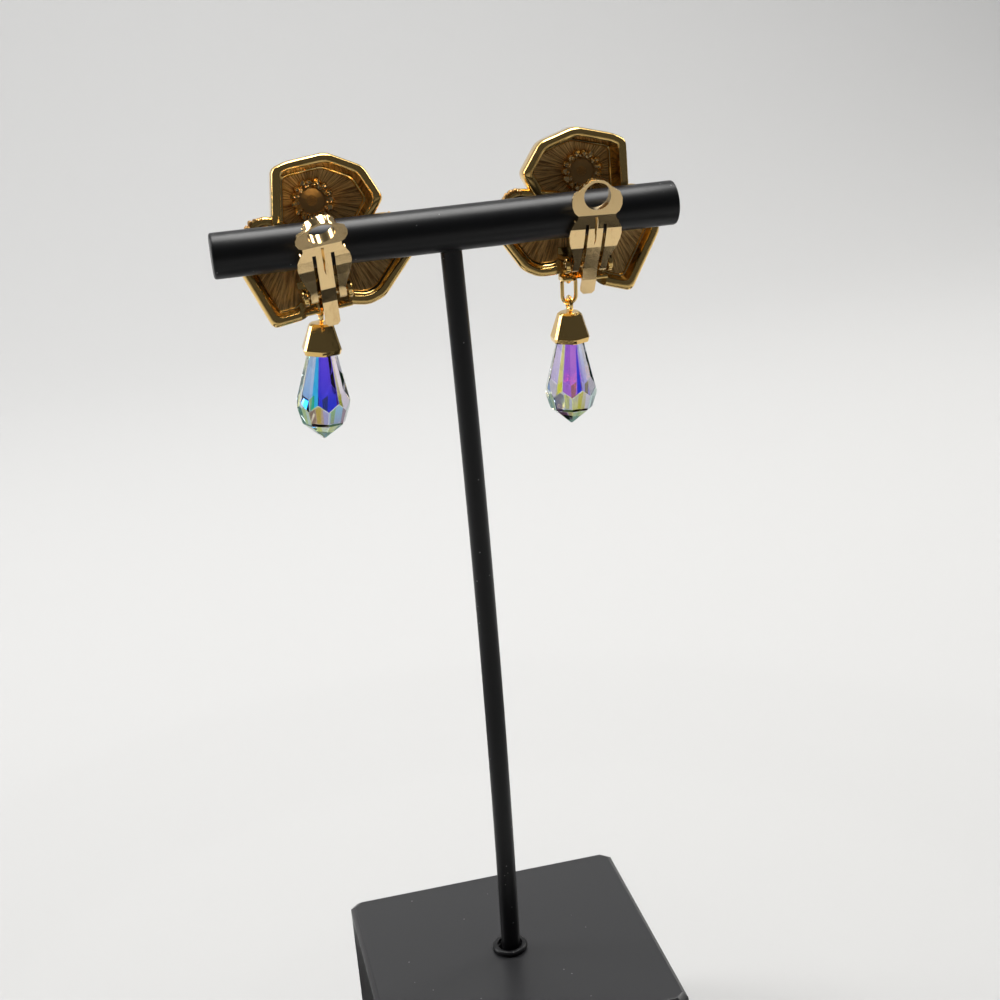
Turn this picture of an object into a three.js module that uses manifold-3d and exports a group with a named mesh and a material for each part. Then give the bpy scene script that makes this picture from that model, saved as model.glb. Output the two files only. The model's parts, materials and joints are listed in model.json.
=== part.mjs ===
// A pair of clip-on drop earrings on a plain T-bar stand, in millimetres, +Z up.
// The origin is the middle of the base's underside, +X runs along the bar, and -Y is the clip side.
// Each earring is built in its own frame: u along the bar, v through the casting towards its front, w up.
// The two are mirror images, so every earring function takes side = 1 or -1.
import * as THREE from 'three';
import { mergeVertices } from 'three/addons/utils/BufferGeometryUtils.js';
import Module from 'manifold-3d';

const wasm = await Module();
wasm.setup();

// Stand
const BASE_LENGTH = 48;
const BASE_DEPTH = 44;
const BASE_HEIGHT = 28;
const BASE_EDGE = 0.8;
const BASE_CORNER = 1.2;
const BAR_DIAMETER = 6.35;
const BAR_LENGTH = 66.4;
const BAR_HEIGHT = 148.8;
const BAR_EDGE = 0.35;
const POST_DIAMETER = 3.1;
const POST_BOW = 0.75;
const POST_SOCKET = 8;
const COLLAR_DIAMETER = 5.8;
const COLLAR_HEIGHT = 0.6;
const GAP = 0.3;

// Flower casting: depths are measured from the rim plane of the lower petals
const TOP_FLOOR = 2.6;
const TOP_FRONT = 6.2;
const LOWER_FLOOR = 1.5;
const LOWER_FRONT = 4.6;
const RIM_ROUND = 0.55;
const RIM_WIDTH = 0.75;
const WALL_LEAN = 0.5;
const LEDGE_WIDTH = 0.3;
const RIM_CORNER = 0.9;
const LEDGE_CORNER = 0.7;
const FLOOR_DISH = 0.2;
const ROSETTE_W = 5;
const ROSETTE_DIAMETER = 6.4;
const ROSETTE_DISH = 3.4;
const ROSETTE_GRAINS = 15;
const ROSETTE_RISE = 0.4;
const GRAIN_DIAMETER = 1.15;
const GRAIN_SINK = 0.15;

// Clip
const CLIP_U = -0.8;
const HINGE_V = -2.7;
const HINGE_W = -7.9;
const PIN_DIAMETER = 0.8;
const EAR_SPAN = 6.9;
const EAR_THICKNESS = 0.6;
const EAR_ROUND = 1.25;
const BRACKET_RISE = 2.2;
const BRACKET_SINK = 1.6;
const LIP_DROP = 2.6;
const LIP_DEPTH = -0.9;
const LIP_THICKNESS = 0.6;
const SHEET = 0.5;
const SHEET_OVER_PIN = 1;
const TONGUE_WIDTH = 2.1;
const TONGUE_TAIL = 4.6;
const SLOT_WIDTH = 0.5;
const PADDLE_WIDTH = 7.6;
const RING_AT = 11.9;
const RING_HOLE = 3.9;
const COLLAR_WALL = 0.4;
const COLLAR_DEEP = 0.9;
const COLLAR_NOTCHES = 18;
const NOTCH_DEEP = 0.3;
const NOTCH_WIDE = 0.22;
const KNUCKLE_WALL = 0.35;

// Drop
const WIRE = 0.6;
const LOOP_INNER = 1.8;
const LOOP_V = 4.4;
const STEM_HEIGHT = 1.4;
const LINK_WIDTH = 2.7;
const EYE_INNER = 1.6;
const CAP_HEIGHT = 4.5;
const CAP_TOP = 3.5;
const CAP_WIDE = 5.5;
const CAP_MOUTH = 5.2;
const CAP_LIP = 0.7;
const CAP_BEVEL = 0.32;
const CAP_WALL = 0.2;
const EYE_FOOT = 0.36;
const SEAT_TAPER = 0.8;
const CRYSTAL_LENGTH = 15.7;
const CRYSTAL_WIDTH = 8;
const CRYSTAL_SEAT = 2.6;
const CRYSTAL_GAP = 0.2;
const GIRDLE_SHARE = 0.39;

// Where each casting sits on the bar: turns in degrees, then its rim plane's middle from the bar's axis.
// The clips are soldered a little askew and bent by different amounts, and the drops lean a little.
const PLACES = {
  left: {
    side: 1, yaw: 1.5, pitch: -10, roll: -2, at: [-17.6, 4.05, 0.35],
    clipTurn: -4, open: 37, belly: -0.2, nod: 16, loop: [-0.9, -8], link: 3.3, lean: 4.7, stoneTurn: 4,
  },
  right: {
    side: -1, yaw: -1.5, pitch: -5, roll: 10, at: [20.9, 4.5, 0.05],
    clipTurn: 8, open: 21.5, belly: 2.1, nod: 0, loop: [0.1, -10.2], link: 4.7, lean: 2.2, stoneTurn: -13,
  },
};

// Petal outlines seen from behind, as [u, w, rim depth], and the corners between are rounded
const TOP_PETAL = {
  middle: [1.2, 5],
  outline: [
    [-6.7, 1.9, -1.2], [-5.4, 10.1, -1.1], [-3.3, 10.8, -1.1], [2.5, 11.3, -1.1], [7.5, 8.7, -1.1],
    [9.7, 3.9, -1.1], [7.4, 0.9, -0.2], [4.2, -2.4, 0.3], [0.6, -3.6, 0.4], [-3, -2.6, 0.3],
  ],
};
const OUTER_PETAL = {
  middle: [-6.6, -4.4],
  outline: [
    [-9.7, 2.7, 0], [-9, 3.6, 0], [-7, 3.9, 0], [-3.4, 2, 0], [-0.6, -1.2, 0], [-0.6, -7.9, 0],
    [-3.9, -11.2, 0], [-8.7, -11.8, -0.4], [-12.2, -2.6, 0], [-11.6, -0.6, 0],
  ],
};
const INNER_PETAL = {
  middle: [6, -4.2],
  outline: [
    [3.2, 2, 0], [10.2, 1.9, 0.2], [11.7, 0.6, 0.2], [13.5, -3.9, 0.3], [7.9, -9.9, 0.4],
    [5.4, -10.7, 0.5], [2.6, -10.2, 0.4], [-1, -7.6, 0], [-1.2, -1.2, 0],
  ],
};

const BAR_R = BAR_DIAMETER / 2;
const POST_HOLE_R = POST_DIAMETER / 2 + GAP + POST_BOW / 4;
const EAR_HALF = EAR_SPAN / 2;
const PADDLE_HALF = EAR_HALF - EAR_THICKNESS - GAP;
const RING_R = RING_HOLE / 2 + COLLAR_WALL;
const PIN_HOLE_R = PIN_DIAMETER / 2 + GAP;
const TONGUE_HALF = TONGUE_WIDTH / 2;
const ARM_INSIDE = TONGUE_HALF + SLOT_WIDTH;
const CRYSTAL_NECK = CAP_MOUTH - 2 * (CAP_WALL + CRYSTAL_GAP);

// The bent sheet seen from the side: [share of the way up to the ring, share of the belly]
const SHEET_NECK = 0.78;
const SHEET_BENDS = [
  [-TONGUE_TAIL / RING_AT, -0.29], [0, 0], [0.33, 0.67], [0.6, 0.95], [SHEET_NECK, 1], [1.3, 0.55],
];

// Half widths of the sheet: [share of the way up to the ring, share of the widest half]
const SLOT_TOP = 0.68;
const SHEET_ARM = [
  [0.12, 0.66], [0.26, 0.8], [0.33, 0.88], [0.43, 0.97], [0.52, 1], [0.6, 0.97], [SLOT_TOP, 0.84],
];
const SHEET_PLATE = [
  [SLOT_TOP, 0.84], [0.74, 0.72], [0.78, 0.72], [0.82, 0.86], [0.89, 0.95], [0.97, 0.95],
  [1.04, 0.86], [1.09, 0.6], [1.13, 0.37],
];

// The petals' fronts: [share of the way to the middle, share of the skin below the front]
const DOME = [[0.55, 0.07], [0.22, 0.24], [0, 0.5]];

const gold = new THREE.MeshStandardMaterial({ color: 0xd9a755, roughness: 0.22, metalness: 1 });
const clipGold = new THREE.MeshStandardMaterial({ color: 0xe0b87a, roughness: 0.18, metalness: 1 });
const crystalGlass = new THREE.MeshStandardMaterial({ color: 0xdfe6f4, roughness: 0.05, metalness: 0 });
const blackMetal = new THREE.MeshStandardMaterial({ color: 0x0c0c0e, roughness: 0.3, metalness: 0.2 });
const darkBase = new THREE.MeshStandardMaterial({ color: 0x1d1d1f, roughness: 0.4, metalness: 0 });

const object = new THREE.Group();

function solid(geometry) {
  const bare = geometry.clone();
  bare.deleteAttribute('normal');
  bare.deleteAttribute('uv');
  const merged = mergeVertices(bare, 1e-4);
  const vertProperties = new Float32Array(merged.attributes.position.array);
  const triVerts = new Uint32Array(merged.index.array);
  return new wasm.Manifold(new wasm.Mesh({ numProp: 3, vertProperties, triVerts }));
}

function geometryOf(body) {
  const mesh = body.getMesh();
  const geometry = new THREE.BufferGeometry();
  geometry.setAttribute('position', new THREE.BufferAttribute(new Float32Array(mesh.vertProperties), 3));
  geometry.setIndex(new THREE.BufferAttribute(new Uint32Array(mesh.triVerts), 1));
  return geometry;
}

function joined(bodies) {
  return bodies.reduce((whole, body) => whole.add(body));
}

// A mirrored copy keeps its faces outward by turning every triangle round
function mirrored(geometry, side) {
  if (side > 0) {
    return geometry;
  }
  const copy = geometry.clone().scale(-1, 1, 1);
  const index = copy.index.array;
  for (let i = 0; i < index.length; i += 3) {
    [index[i], index[i + 1]] = [index[i + 1], index[i]];
  }
  return copy;
}

function piece(name, geometry, material, parent = object) {
  const mesh = new THREE.Mesh(geometry, material);
  mesh.name = name;
  parent.add(mesh);
  return mesh;
}

// Rings of equal point counts, closed at both ends by a fan round the ring's middle or a given point
function loft(rings, startPoint, endPoint) {
  const count = rings[0].length;
  const positions = rings.flat(2);
  const triangles = [];
  for (let r = 0; r + 1 < rings.length; r += 1) {
    for (let i = 0; i < count; i += 1) {
      const a = r * count + i;
      const b = r * count + ((i + 1) % count);
      triangles.push(a, b, b + count, a, b + count, a + count);
    }
  }
  const start = rings.length * count;
  positions.push(...startPoint, ...endPoint);
  for (let i = 0; i < count; i += 1) {
    const next = (i + 1) % count;
    const last = (rings.length - 1) * count;
    triangles.push(start, next, i);
    triangles.push(start + 1, last + i, last + next);
  }
  const geometry = new THREE.BufferGeometry();
  geometry.setAttribute('position', new THREE.BufferAttribute(new Float32Array(positions), 3));
  geometry.setIndex(triangles);
  return geometry;
}

function middleOf(ring) {
  const sum = ring.reduce((total, p) => total.map((value, k) => value + p[k]), [0, 0, 0]);
  return sum.map((value) => value / ring.length);
}

// A solid is turned inside out when its volume comes out negative
function outward(geometry) {
  const p = geometry.attributes.position;
  const index = geometry.index.array;
  let volume = 0;
  const [a, b, c] = [new THREE.Vector3(), new THREE.Vector3(), new THREE.Vector3()];
  for (let i = 0; i < index.length; i += 3) {
    a.fromBufferAttribute(p, index[i]);
    b.fromBufferAttribute(p, index[i + 1]);
    c.fromBufferAttribute(p, index[i + 2]);
    volume += a.dot(b.cross(c));
  }
  if (volume < 0) {
    for (let i = 0; i < index.length; i += 3) {
      [index[i], index[i + 1]] = [index[i + 1], index[i]];
    }
  }
  return geometry;
}

function lofted(rings, startPoint = middleOf(rings[0]), endPoint = middleOf(rings.at(-1))) {
  return outward(loft(rings, startPoint, endPoint));
}

function box(u0, u1, v0, v1, w0, w1) {
  const geometry = new THREE.BoxGeometry(u1 - u0, v1 - v0, w1 - w0);
  return geometry.translate((u0 + u1) / 2, (v0 + v1) / 2, (w0 + w1) / 2);
}

function rod(radius, length, sides) {
  return new THREE.CylinderGeometry(radius, radius, length, sides);
}

// Stand

function standBase() {
  const half = [BASE_LENGTH / 2, BASE_DEPTH / 2];
  const levels = [[0, 0], [BASE_HEIGHT - BASE_EDGE, 0], [BASE_HEIGHT, BASE_EDGE]];
  const rings = levels.map(([z, edge]) => {
    const [x, y] = half.map((value) => value - edge);
    const [shortX, shortY] = [x - BASE_CORNER, y - BASE_CORNER];
    return [
      [x, -shortY, z], [x, shortY, z], [shortX, y, z], [-shortX, y, z],
      [-x, shortY, z], [-x, -shortY, z], [-shortX, -y, z], [shortX, -y, z],
    ];
  });
  const block = solid(lofted(rings));
  const socket = rod(POST_HOLE_R, POST_SOCKET * 2, 20).rotateX(Math.PI / 2);
  return geometryOf(block.subtract(solid(socket.translate(0, 0, BASE_HEIGHT))));
}

function postPath() {
  const bottom = BASE_HEIGHT - POST_SOCKET + GAP;
  const top = BAR_HEIGHT - BAR_R * 0.6;
  const middle = (bottom + top) / 2;
  return new THREE.QuadraticBezierCurve3(
    new THREE.Vector3(0, 0, bottom),
    new THREE.Vector3(2 * POST_BOW, 0, middle),
    new THREE.Vector3(0, 0, top),
  );
}

function standTee() {
  const circle = new THREE.Shape().absarc(0, 0, POST_DIAMETER / 2, 0, Math.PI * 2);
  const options = { steps: 12, bevelEnabled: false, extrudePath: postPath(), curveSegments: 10 };
  const post = solid(new THREE.ExtrudeGeometry(circle, options));
  const half = BAR_LENGTH / 2;
  const profile = [
    [0, -half], [BAR_R - BAR_EDGE, -half], [BAR_R, -half + BAR_EDGE],
    [BAR_R, half - BAR_EDGE], [BAR_R - BAR_EDGE, half], [0, half],
  ].map(([r, y]) => new THREE.Vector2(r, y));
  const bar = new THREE.LatheGeometry(profile, 40).rotateZ(-Math.PI / 2);
  return geometryOf(post.add(solid(bar.translate(0, 0, BAR_HEIGHT))));
}

function postCollar() {
  const inner = POST_HOLE_R;
  const outer = COLLAR_DIAMETER / 2;
  const profile = [
    [inner, 0], [outer, 0], [outer, COLLAR_HEIGHT / 2], [outer - COLLAR_HEIGHT / 2, COLLAR_HEIGHT],
    [inner, COLLAR_HEIGHT], [inner, 0],
  ].map(([r, y]) => new THREE.Vector2(r, y));
  const ring = new THREE.LatheGeometry(profile, 24).rotateX(Math.PI / 2);
  return ring.translate(0, 0, BASE_HEIGHT + GAP);
}

// Flower casting

// Moves every side of the outline inward and meets the neighbours again at the corners
function inset(outline, distance) {
  const count = outline.length;
  const turn = Math.sign(THREE.ShapeUtils.area(outline.map(([u, w]) => new THREE.Vector2(u, w))));
  return outline.map((corner, i) => {
    const before = outline[(i + count - 1) % count];
    const after = outline[(i + 1) % count];
    const inA = new THREE.Vector2(before[1] - corner[1], corner[0] - before[0]).normalize();
    const inB = new THREE.Vector2(corner[1] - after[1], after[0] - corner[0]).normalize();
    const bisector = inA.clone().add(inB);
    const reach = (turn * distance * 2) / bisector.lengthSq();
    return [corner[0] + bisector.x * reach, corner[1] + bisector.y * reach, corner[2]];
  });
}

// Each corner becomes a short curve of three points
function softened(outline, reach) {
  const count = outline.length;
  return outline.flatMap((corner, i) => {
    const before = outline[(i + count - 1) % count];
    const after = outline[(i + 1) % count];
    const toward = (other) => {
      const length = Math.hypot(other[0] - corner[0], other[1] - corner[1]);
      const share = Math.min(reach / length, 0.35);
      return corner.map((value, k) => value + (other[k] - value) * share);
    };
    const [a, b] = [toward(before), toward(after)];
    const bend = corner.map((value, k) => (a[k] + 2 * value + b[k]) / 4);
    return [a, bend, b];
  });
}

function petal({ middle, outline }, floor, front) {
  const level = (distance, depth, reach = RIM_CORNER) => softened(inset(outline, distance), reach)
    .map(([u, w, rim]) => [u, depth(rim), w]);
  const inward = (ring, share, depth) => ring.map(([u, , w]) => [
    u + (middle[0] - u) * share, depth, w + (middle[1] - w) * share,
  ]);
  const skin = front - floor;
  const wall = RIM_ROUND + RIM_WIDTH + WALL_LEAN;
  const shoulder = level(RIM_ROUND + RIM_WIDTH, () => front);
  const foot = level(wall + LEDGE_WIDTH, () => floor, LEDGE_CORNER);
  const rings = [
    ...DOME.map(([share, drop]) => inward(shoulder, share, front - skin * drop)),
    level(RIM_ROUND / 2, () => front - skin * 0.85),
    level(0, (rim) => rim + (front - rim) * 0.3),
    level(RIM_ROUND * 0.3, (rim) => rim + RIM_ROUND * 0.7),
    level(RIM_ROUND, (rim) => rim),
    level(RIM_ROUND + RIM_WIDTH, (rim) => rim + RIM_ROUND / 5),
    level(wall, () => floor - LEDGE_WIDTH, LEDGE_CORNER),
    foot,
    inward(foot, 0.5, floor + FLOOR_DISH),
  ];
  const centre = (depth) => [middle[0], depth, middle[1]];
  return solid(lofted(rings, centre(front), centre(floor + FLOOR_DISH)));
}

function rosette() {
  const outer = ROSETTE_DIAMETER / 2 - GRAIN_DIAMETER / 2;
  const dish = ROSETTE_DISH / 2;
  const profile = [
    [0, GRAIN_DIAMETER], [outer + GRAIN_SINK, GRAIN_DIAMETER], [outer + GRAIN_SINK, -GRAIN_SINK],
    [outer - GRAIN_SINK, -ROSETTE_RISE], [dish + GRAIN_SINK, -ROSETTE_RISE], [dish, 0],
    [dish / 2, FLOOR_DISH], [0, FLOOR_DISH * 1.2],
  ].map(([r, y]) => new THREE.Vector2(r, y));
  const bodies = [solid(outward(mergeVertices(bareLathe(profile, 24), 1e-4)))];
  const rows = [
    [outer, GRAIN_DIAMETER / 2, ROSETTE_GRAINS],
    [dish + GRAIN_DIAMETER * 0.4, GRAIN_DIAMETER / 3, ROSETTE_GRAINS - 3],
  ];
  rows.forEach(([reach, radius, count]) => {
    for (let i = 0; i < count; i += 1) {
      const angle = (i / count) * Math.PI * 2;
      const grain = new THREE.DodecahedronGeometry(radius, 0).rotateY(angle * 3).rotateX(angle * 5);
      bodies.push(solid(grain.translate(reach * Math.cos(angle), -GRAIN_SINK, reach * Math.sin(angle))));
    }
  });
  return joined(bodies).translate([0, TOP_FLOOR, ROSETTE_W]);
}

function bareLathe(profile, sides) {
  const geometry = new THREE.LatheGeometry(profile, sides);
  geometry.deleteAttribute('normal');
  geometry.deleteAttribute('uv');
  return geometry;
}

// Two upright ears with pin holes on a base plate, and a short lip under each ear, round the pin's middle
function bracket(clipTurn) {
  const floor = LOWER_FLOOR - GAP - HINGE_V;
  const inMetal = floor + BRACKET_SINK;
  const plate = box(-EAR_HALF, EAR_HALF, floor, inMetal, -LIP_DROP, BRACKET_RISE);
  const bodies = [solid(plate)];
  [-1, 1].forEach((way) => {
    const edges = [way * EAR_HALF, way * (EAR_HALF - EAR_THICKNESS)].sort((a, b) => a - b);
    const knob = rod(EAR_ROUND, EAR_THICKNESS, 20).rotateZ(Math.PI / 2);
    bodies.push(solid(knob.translate((edges[0] + edges[1]) / 2, 0, 0)));
    bodies.push(solid(box(...edges, 0, inMetal, -EAR_ROUND, EAR_ROUND)));
    const lip = [way * EAR_HALF, way * (TONGUE_HALF + GAP)].sort((a, b) => a - b);
    bodies.push(solid(box(...lip, LIP_DEPTH - HINGE_V, inMetal, -LIP_DROP, -LIP_DROP + LIP_THICKNESS)));
  });
  const hole = rod(PIN_HOLE_R, EAR_SPAN * 2, 16).rotateZ(Math.PI / 2);
  const whole = joined(bodies).subtract(solid(hole));
  return whole.rotate([0, clipTurn, 0]).translate([CLIP_U, HINGE_V, HINGE_W]);
}

// A closed ring of wire that lies in the plane across the bar
function wireRing(inner, wire) {
  const middle = (inner + wire) / 2;
  return new THREE.TorusGeometry(middle, wire / 2, 6, 16).rotateY(Math.PI / 2);
}

function casting([loopU, loopW], clipTurn) {
  const petals = joined([
    petal(OUTER_PETAL, LOWER_FLOOR, LOWER_FRONT),
    petal(INNER_PETAL, LOWER_FLOOR, LOWER_FRONT),
    petal(TOP_PETAL, TOP_FLOOR, TOP_FRONT),
  ]);
  const room = box(
    CLIP_U - EAR_HALF - GAP, CLIP_U + EAR_HALF + GAP, 2 * HINGE_V, LOWER_FLOOR - GAP,
    HINGE_W - 2 * LIP_DROP, HINGE_W + BRACKET_RISE + GAP,
  );
  const stemFoot = loopW + (LOOP_INNER + WIRE / 2) / 2;
  const stem = box(loopU - WIRE, loopU + WIRE, LOWER_FLOOR, LOOP_V + WIRE, stemFoot, stemFoot + STEM_HEIGHT);
  const loop = solid(wireRing(LOOP_INNER, WIRE).translate(loopU, LOOP_V, loopW));
  const carved = petals.subtract(solid(room));
  return geometryOf(joined([carved, bracket(clipTurn), rosette(), solid(stem), loop]));
}

// Clip paddle, in its own frame: x across, y along the stand-off, z up from the pin

// Stand-off of the sheet's middle, whose ring is bent back by the nod above the neck
function standOff(distance, bend) {
  const share = distance / RING_AT;
  const i = Math.max(1, SHEET_BENDS.findIndex(([at]) => at >= share));
  const [[p0, s0], [p1, s1]] = [SHEET_BENDS[i - 1], SHEET_BENDS[i]];
  const bulge = bend.belly * (s0 + ((s1 - s0) * (share - p0)) / (p1 - p0));
  const over = Math.max(0, distance - SHEET_NECK * RING_AT);
  return SHEET_OVER_PIN + bulge + over * Math.tan(THREE.MathUtils.degToRad(bend.nod));
}

// Slope of the ring against the straight sheet
function ringTilt(bend) {
  const rise = standOff(RING_AT + SHEET, bend) - standOff(RING_AT, bend);
  return Math.atan(rise / SHEET);
}

// A strip of the bent sheet from stations [distance, left edge, right edge]
function strip(stations, bend) {
  const rings = stations.map(([p, left, right]) => {
    const s = standOff(p, bend);
    const [near, far] = [s - SHEET / 2, s + SHEET / 2];
    return [[left, -near, p], [right, -near, p], [right, -far, p], [left, -far, p]];
  });
  return solid(lofted(rings));
}

function paddle(bend) {
  const scaled = ([way, wide]) => [way * RING_AT, (wide * PADDLE_WIDTH) / 2];
  const plate = SHEET_PLATE.map(scaled);
  const arm = [[0, PADDLE_HALF], ...SHEET_ARM.map(scaled)];
  const [slotTop, slotHalf] = plate[0];
  const bodies = [
    strip(plate.map(([p, half]) => [p, -half, half]), bend),
    strip(arm.map(([p, half]) => [p, ARM_INSIDE, half]), bend),
    strip(arm.map(([p, half]) => [p, -half, -ARM_INSIDE]), bend),
    strip([slotTop - SHEET / 2, slotTop + SHEET / 2].map((p) => [p, -slotHalf, slotHalf]), bend),
  ];
  const bends = [0, 0.33, 0.6].map((share) => [share * RING_AT, TONGUE_HALF]);
  const tail = [[-TONGUE_TAIL, TONGUE_HALF * 0.6], [-TONGUE_TAIL + SHEET, TONGUE_HALF]];
  const tongue = [...tail, ...bends, [slotTop, TONGUE_HALF]];
  bodies.push(strip(tongue.map(([p, half]) => [p, -half, half]), bend));
  const onRing = (shape) => shape.rotateX(ringTilt(bend)).translate(0, -standOff(RING_AT, bend), RING_AT);
  const collar = rod(RING_R, COLLAR_DEEP + SHEET, 28).translate(0, COLLAR_DEEP / 2, 0);
  bodies.push(solid(onRing(collar)));
  [-1, 1].forEach((way) => {
    const length = PADDLE_HALF - ARM_INSIDE;
    const knuckle = rod(PIN_HOLE_R + KNUCKLE_WALL, length, 16).rotateZ(Math.PI / 2);
    bodies.push(solid(knuckle.translate(way * (ARM_INSIDE + length / 2), 0, 0)));
  });
  let whole = joined(bodies);
  whole = whole.subtract(solid(onRing(rod(RING_HOLE / 2, RING_AT, 28))));
  whole = whole.subtract(solid(rod(PIN_HOLE_R, EAR_SPAN, 16).rotateZ(Math.PI / 2)));
  whole = whole.subtract(collarNotches(onRing)).subtract(groove(bend));
  return geometryOf(whole);
}

function collarNotches(onRing) {
  const cuts = [];
  for (let i = 0; i < COLLAR_NOTCHES; i += 1) {
    const angle = ((i + 0.5) / COLLAR_NOTCHES) * Math.PI * 2;
    const cut = new THREE.BoxGeometry(NOTCH_DEEP, SHEET, NOTCH_WIDE).rotateY(-angle);
    const [x, z] = [RING_R * Math.cos(angle), RING_R * Math.sin(angle)];
    cuts.push(solid(onRing(cut.translate(x, COLLAR_DEEP + SHEET / 2, z))));
  }
  return joined(cuts);
}

// A pointed groove pressed into the tongue under the ring
function groove(bend) {
  const levels = [[0.37, 0.05], [0.55, 0.5], [0.75, 0.6]];
  const rings = levels.map(([way, wide]) => {
    const [p, half] = [way * RING_AT, wide * TONGUE_HALF];
    const outside = standOff(p, bend) + SHEET / 2;
    return [[-half, -outside - SHEET, p], [half, -outside - SHEET, p], [0, -outside + SHEET / 2, p]];
  });
  return solid(lofted(rings));
}

// Drop

function dropLink(length) {
  const straight = length - LINK_WIDTH;
  const radius = (LINK_WIDTH - WIRE) / 2;
  const [top, bottom] = [straight / 2, -straight / 2];
  const arc = (z, from) => {
    const points = [];
    for (let i = 0; i <= 6; i += 1) {
      const angle = from + (Math.PI * i) / 6;
      points.push(new THREE.Vector3(radius * Math.cos(angle), 0, z + radius * Math.sin(angle)));
    }
    return points;
  };
  const points = [...arc(top, 0), ...arc(bottom, Math.PI)];
  return wireAlong(points);
}

// Six-sided wire swept round a closed line of points in the plane y = 0
function wireAlong(points) {
  const count = points.length;
  const sides = 6;
  const positions = [];
  const triangles = [];
  points.forEach((point, i) => {
    const ahead = points[(i + 1) % count].clone().sub(point).normalize();
    const behind = point.clone().sub(points[(i + count - 1) % count]).normalize();
    const along = ahead.add(behind).normalize();
    const out = new THREE.Vector3(along.z, 0, -along.x);
    for (let k = 0; k < sides; k += 1) {
      const angle = (k / sides) * Math.PI * 2;
      const spot = point.clone().addScaledVector(out, (WIRE / 2) * Math.cos(angle));
      positions.push(spot.x, (WIRE / 2) * Math.sin(angle), spot.z);
      const a = i * sides + k;
      const b = i * sides + ((k + 1) % sides);
      const c = ((i + 1) % count) * sides;
      triangles.push(a, b, c + ((k + 1) % sides), a, c + ((k + 1) % sides), c + k);
    }
  });
  const geometry = new THREE.BufferGeometry();
  geometry.setAttribute('position', new THREE.BufferAttribute(new Float32Array(positions), 3));
  geometry.setIndex(triangles);
  return outward(geometry);
}

// Six flat sides with a narrow bevel between each two, at height z and across flats
function hexRing(across, z) {
  const flat = across / 2;
  const halfSide = flat * Math.tan(Math.PI / 6) - CAP_BEVEL;
  const ring = [];
  for (let i = 0; i < 6; i += 1) {
    const angle = (i * Math.PI) / 3;
    [-1, 1].forEach((way) => {
      const x = flat * Math.cos(angle) - way * halfSide * Math.sin(angle);
      const y = flat * Math.sin(angle) + way * halfSide * Math.cos(angle);
      ring.push([x, y, z]);
    });
  }
  return ring;
}

// The cap's top is at z = 0, and the eye stands on it
function cap() {
  const rings = [
    hexRing(CAP_TOP - 2 * CAP_BEVEL, 0), hexRing(CAP_TOP, -CAP_BEVEL),
    hexRing(CAP_WIDE, -CAP_HEIGHT + CAP_LIP), hexRing(CAP_MOUTH, -CAP_HEIGHT),
  ];
  const seat = CRYSTAL_SEAT + GAP;
  const mouth = CAP_MOUTH / 2 - CAP_WALL;
  const hollow = new THREE.CylinderGeometry(mouth * SEAT_TAPER, mouth, seat, 24).rotateX(Math.PI / 2);
  const body = solid(lofted(rings)).subtract(solid(hollow.translate(0, 0, -CAP_HEIGHT + seat / 2)));
  const eye = wireRing(EYE_INNER, WIRE).translate(0, 0, EYE_INNER / 2 + EYE_FOOT);
  return geometryOf(body.add(solid(eye)));
}

function clipped(polygon, { normal, reach }) {
  const kept = [];
  polygon.forEach((a, i) => {
    const b = polygon[(i + 1) % polygon.length];
    const [da, db] = [a.dot(normal) - reach, b.dot(normal) - reach];
    if (da <= 0) {
      kept.push(a);
    }
    if ((da < 0 && db > 0) || (da > 0 && db < 0)) {
      kept.push(a.clone().lerp(b, da / (da - db)));
    }
  });
  return kept;
}

// A row of eight facets: tilt in degrees above the horizon, a point [radius, height] on it, and the turn
function facetRow(tilt, radius, height, turned) {
  const row = [];
  for (let i = 0; i < 8; i += 1) {
    const angle = ((i + (turned ? 0.5 : 0)) * Math.PI) / 4;
    const lean = THREE.MathUtils.degToRad(tilt);
    const normal = new THREE.Vector3(
      Math.cos(lean) * Math.cos(angle), Math.cos(lean) * Math.sin(angle), Math.sin(lean),
    );
    row.push({ normal, reach: radius * Math.cos(lean) + height * Math.sin(lean) });
  }
  return row;
}

// The tip is at z = 0 and the table at the crystal's full length
function crystal() {
  const wide = CRYSTAL_WIDTH / 2;
  const flat = wide * Math.cos(Math.PI / 8);
  const girdle = CRYSTAL_LENGTH * GIRDLE_SHARE;
  const neckTop = CRYSTAL_LENGTH - CRYSTAL_SEAT;
  const neckFlat = (CRYSTAL_NECK / 2) * Math.cos(Math.PI / 8);
  const slope = THREE.MathUtils.radToDeg(Math.atan2(flat - neckFlat, neckTop - girdle));
  const planes = [
    { normal: new THREE.Vector3(0, 0, 1), reach: CRYSTAL_LENGTH },
    ...facetRow(slope, flat, girdle, false),
    ...facetRow(-16, wide, girdle, true),
    ...facetRow(-49, 0, 0, true),
  ];
  const positions = [];
  planes.forEach((plane) => {
    const across = new THREE.Vector3(0, 0, 1).cross(plane.normal);
    if (across.lengthSq() < 1e-6) {
      across.set(1, 0, 0);
    }
    across.normalize();
    const up = plane.normal.clone().cross(across);
    const centre = plane.normal.clone().multiplyScalar(plane.reach);
    const corner = (a, b) => centre.clone().addScaledVector(across, a * 40).addScaledVector(up, b * 40);
    let polygon = [corner(-1, -1), corner(1, -1), corner(1, 1), corner(-1, 1)];
    planes.forEach((other) => {
      if (other !== plane) {
        polygon = clipped(polygon, other);
      }
    });
    for (let i = 1; i + 1 < polygon.length; i += 1) {
      [polygon[0], polygon[i], polygon[i + 1]].forEach((point) => positions.push(point.x, point.y, point.z));
    }
  });
  const geometry = new THREE.BufferGeometry();
  geometry.setAttribute('position', new THREE.BufferAttribute(new Float32Array(positions), 3));
  return geometryOf(solid(geometry));
}

// Assembly

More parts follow.
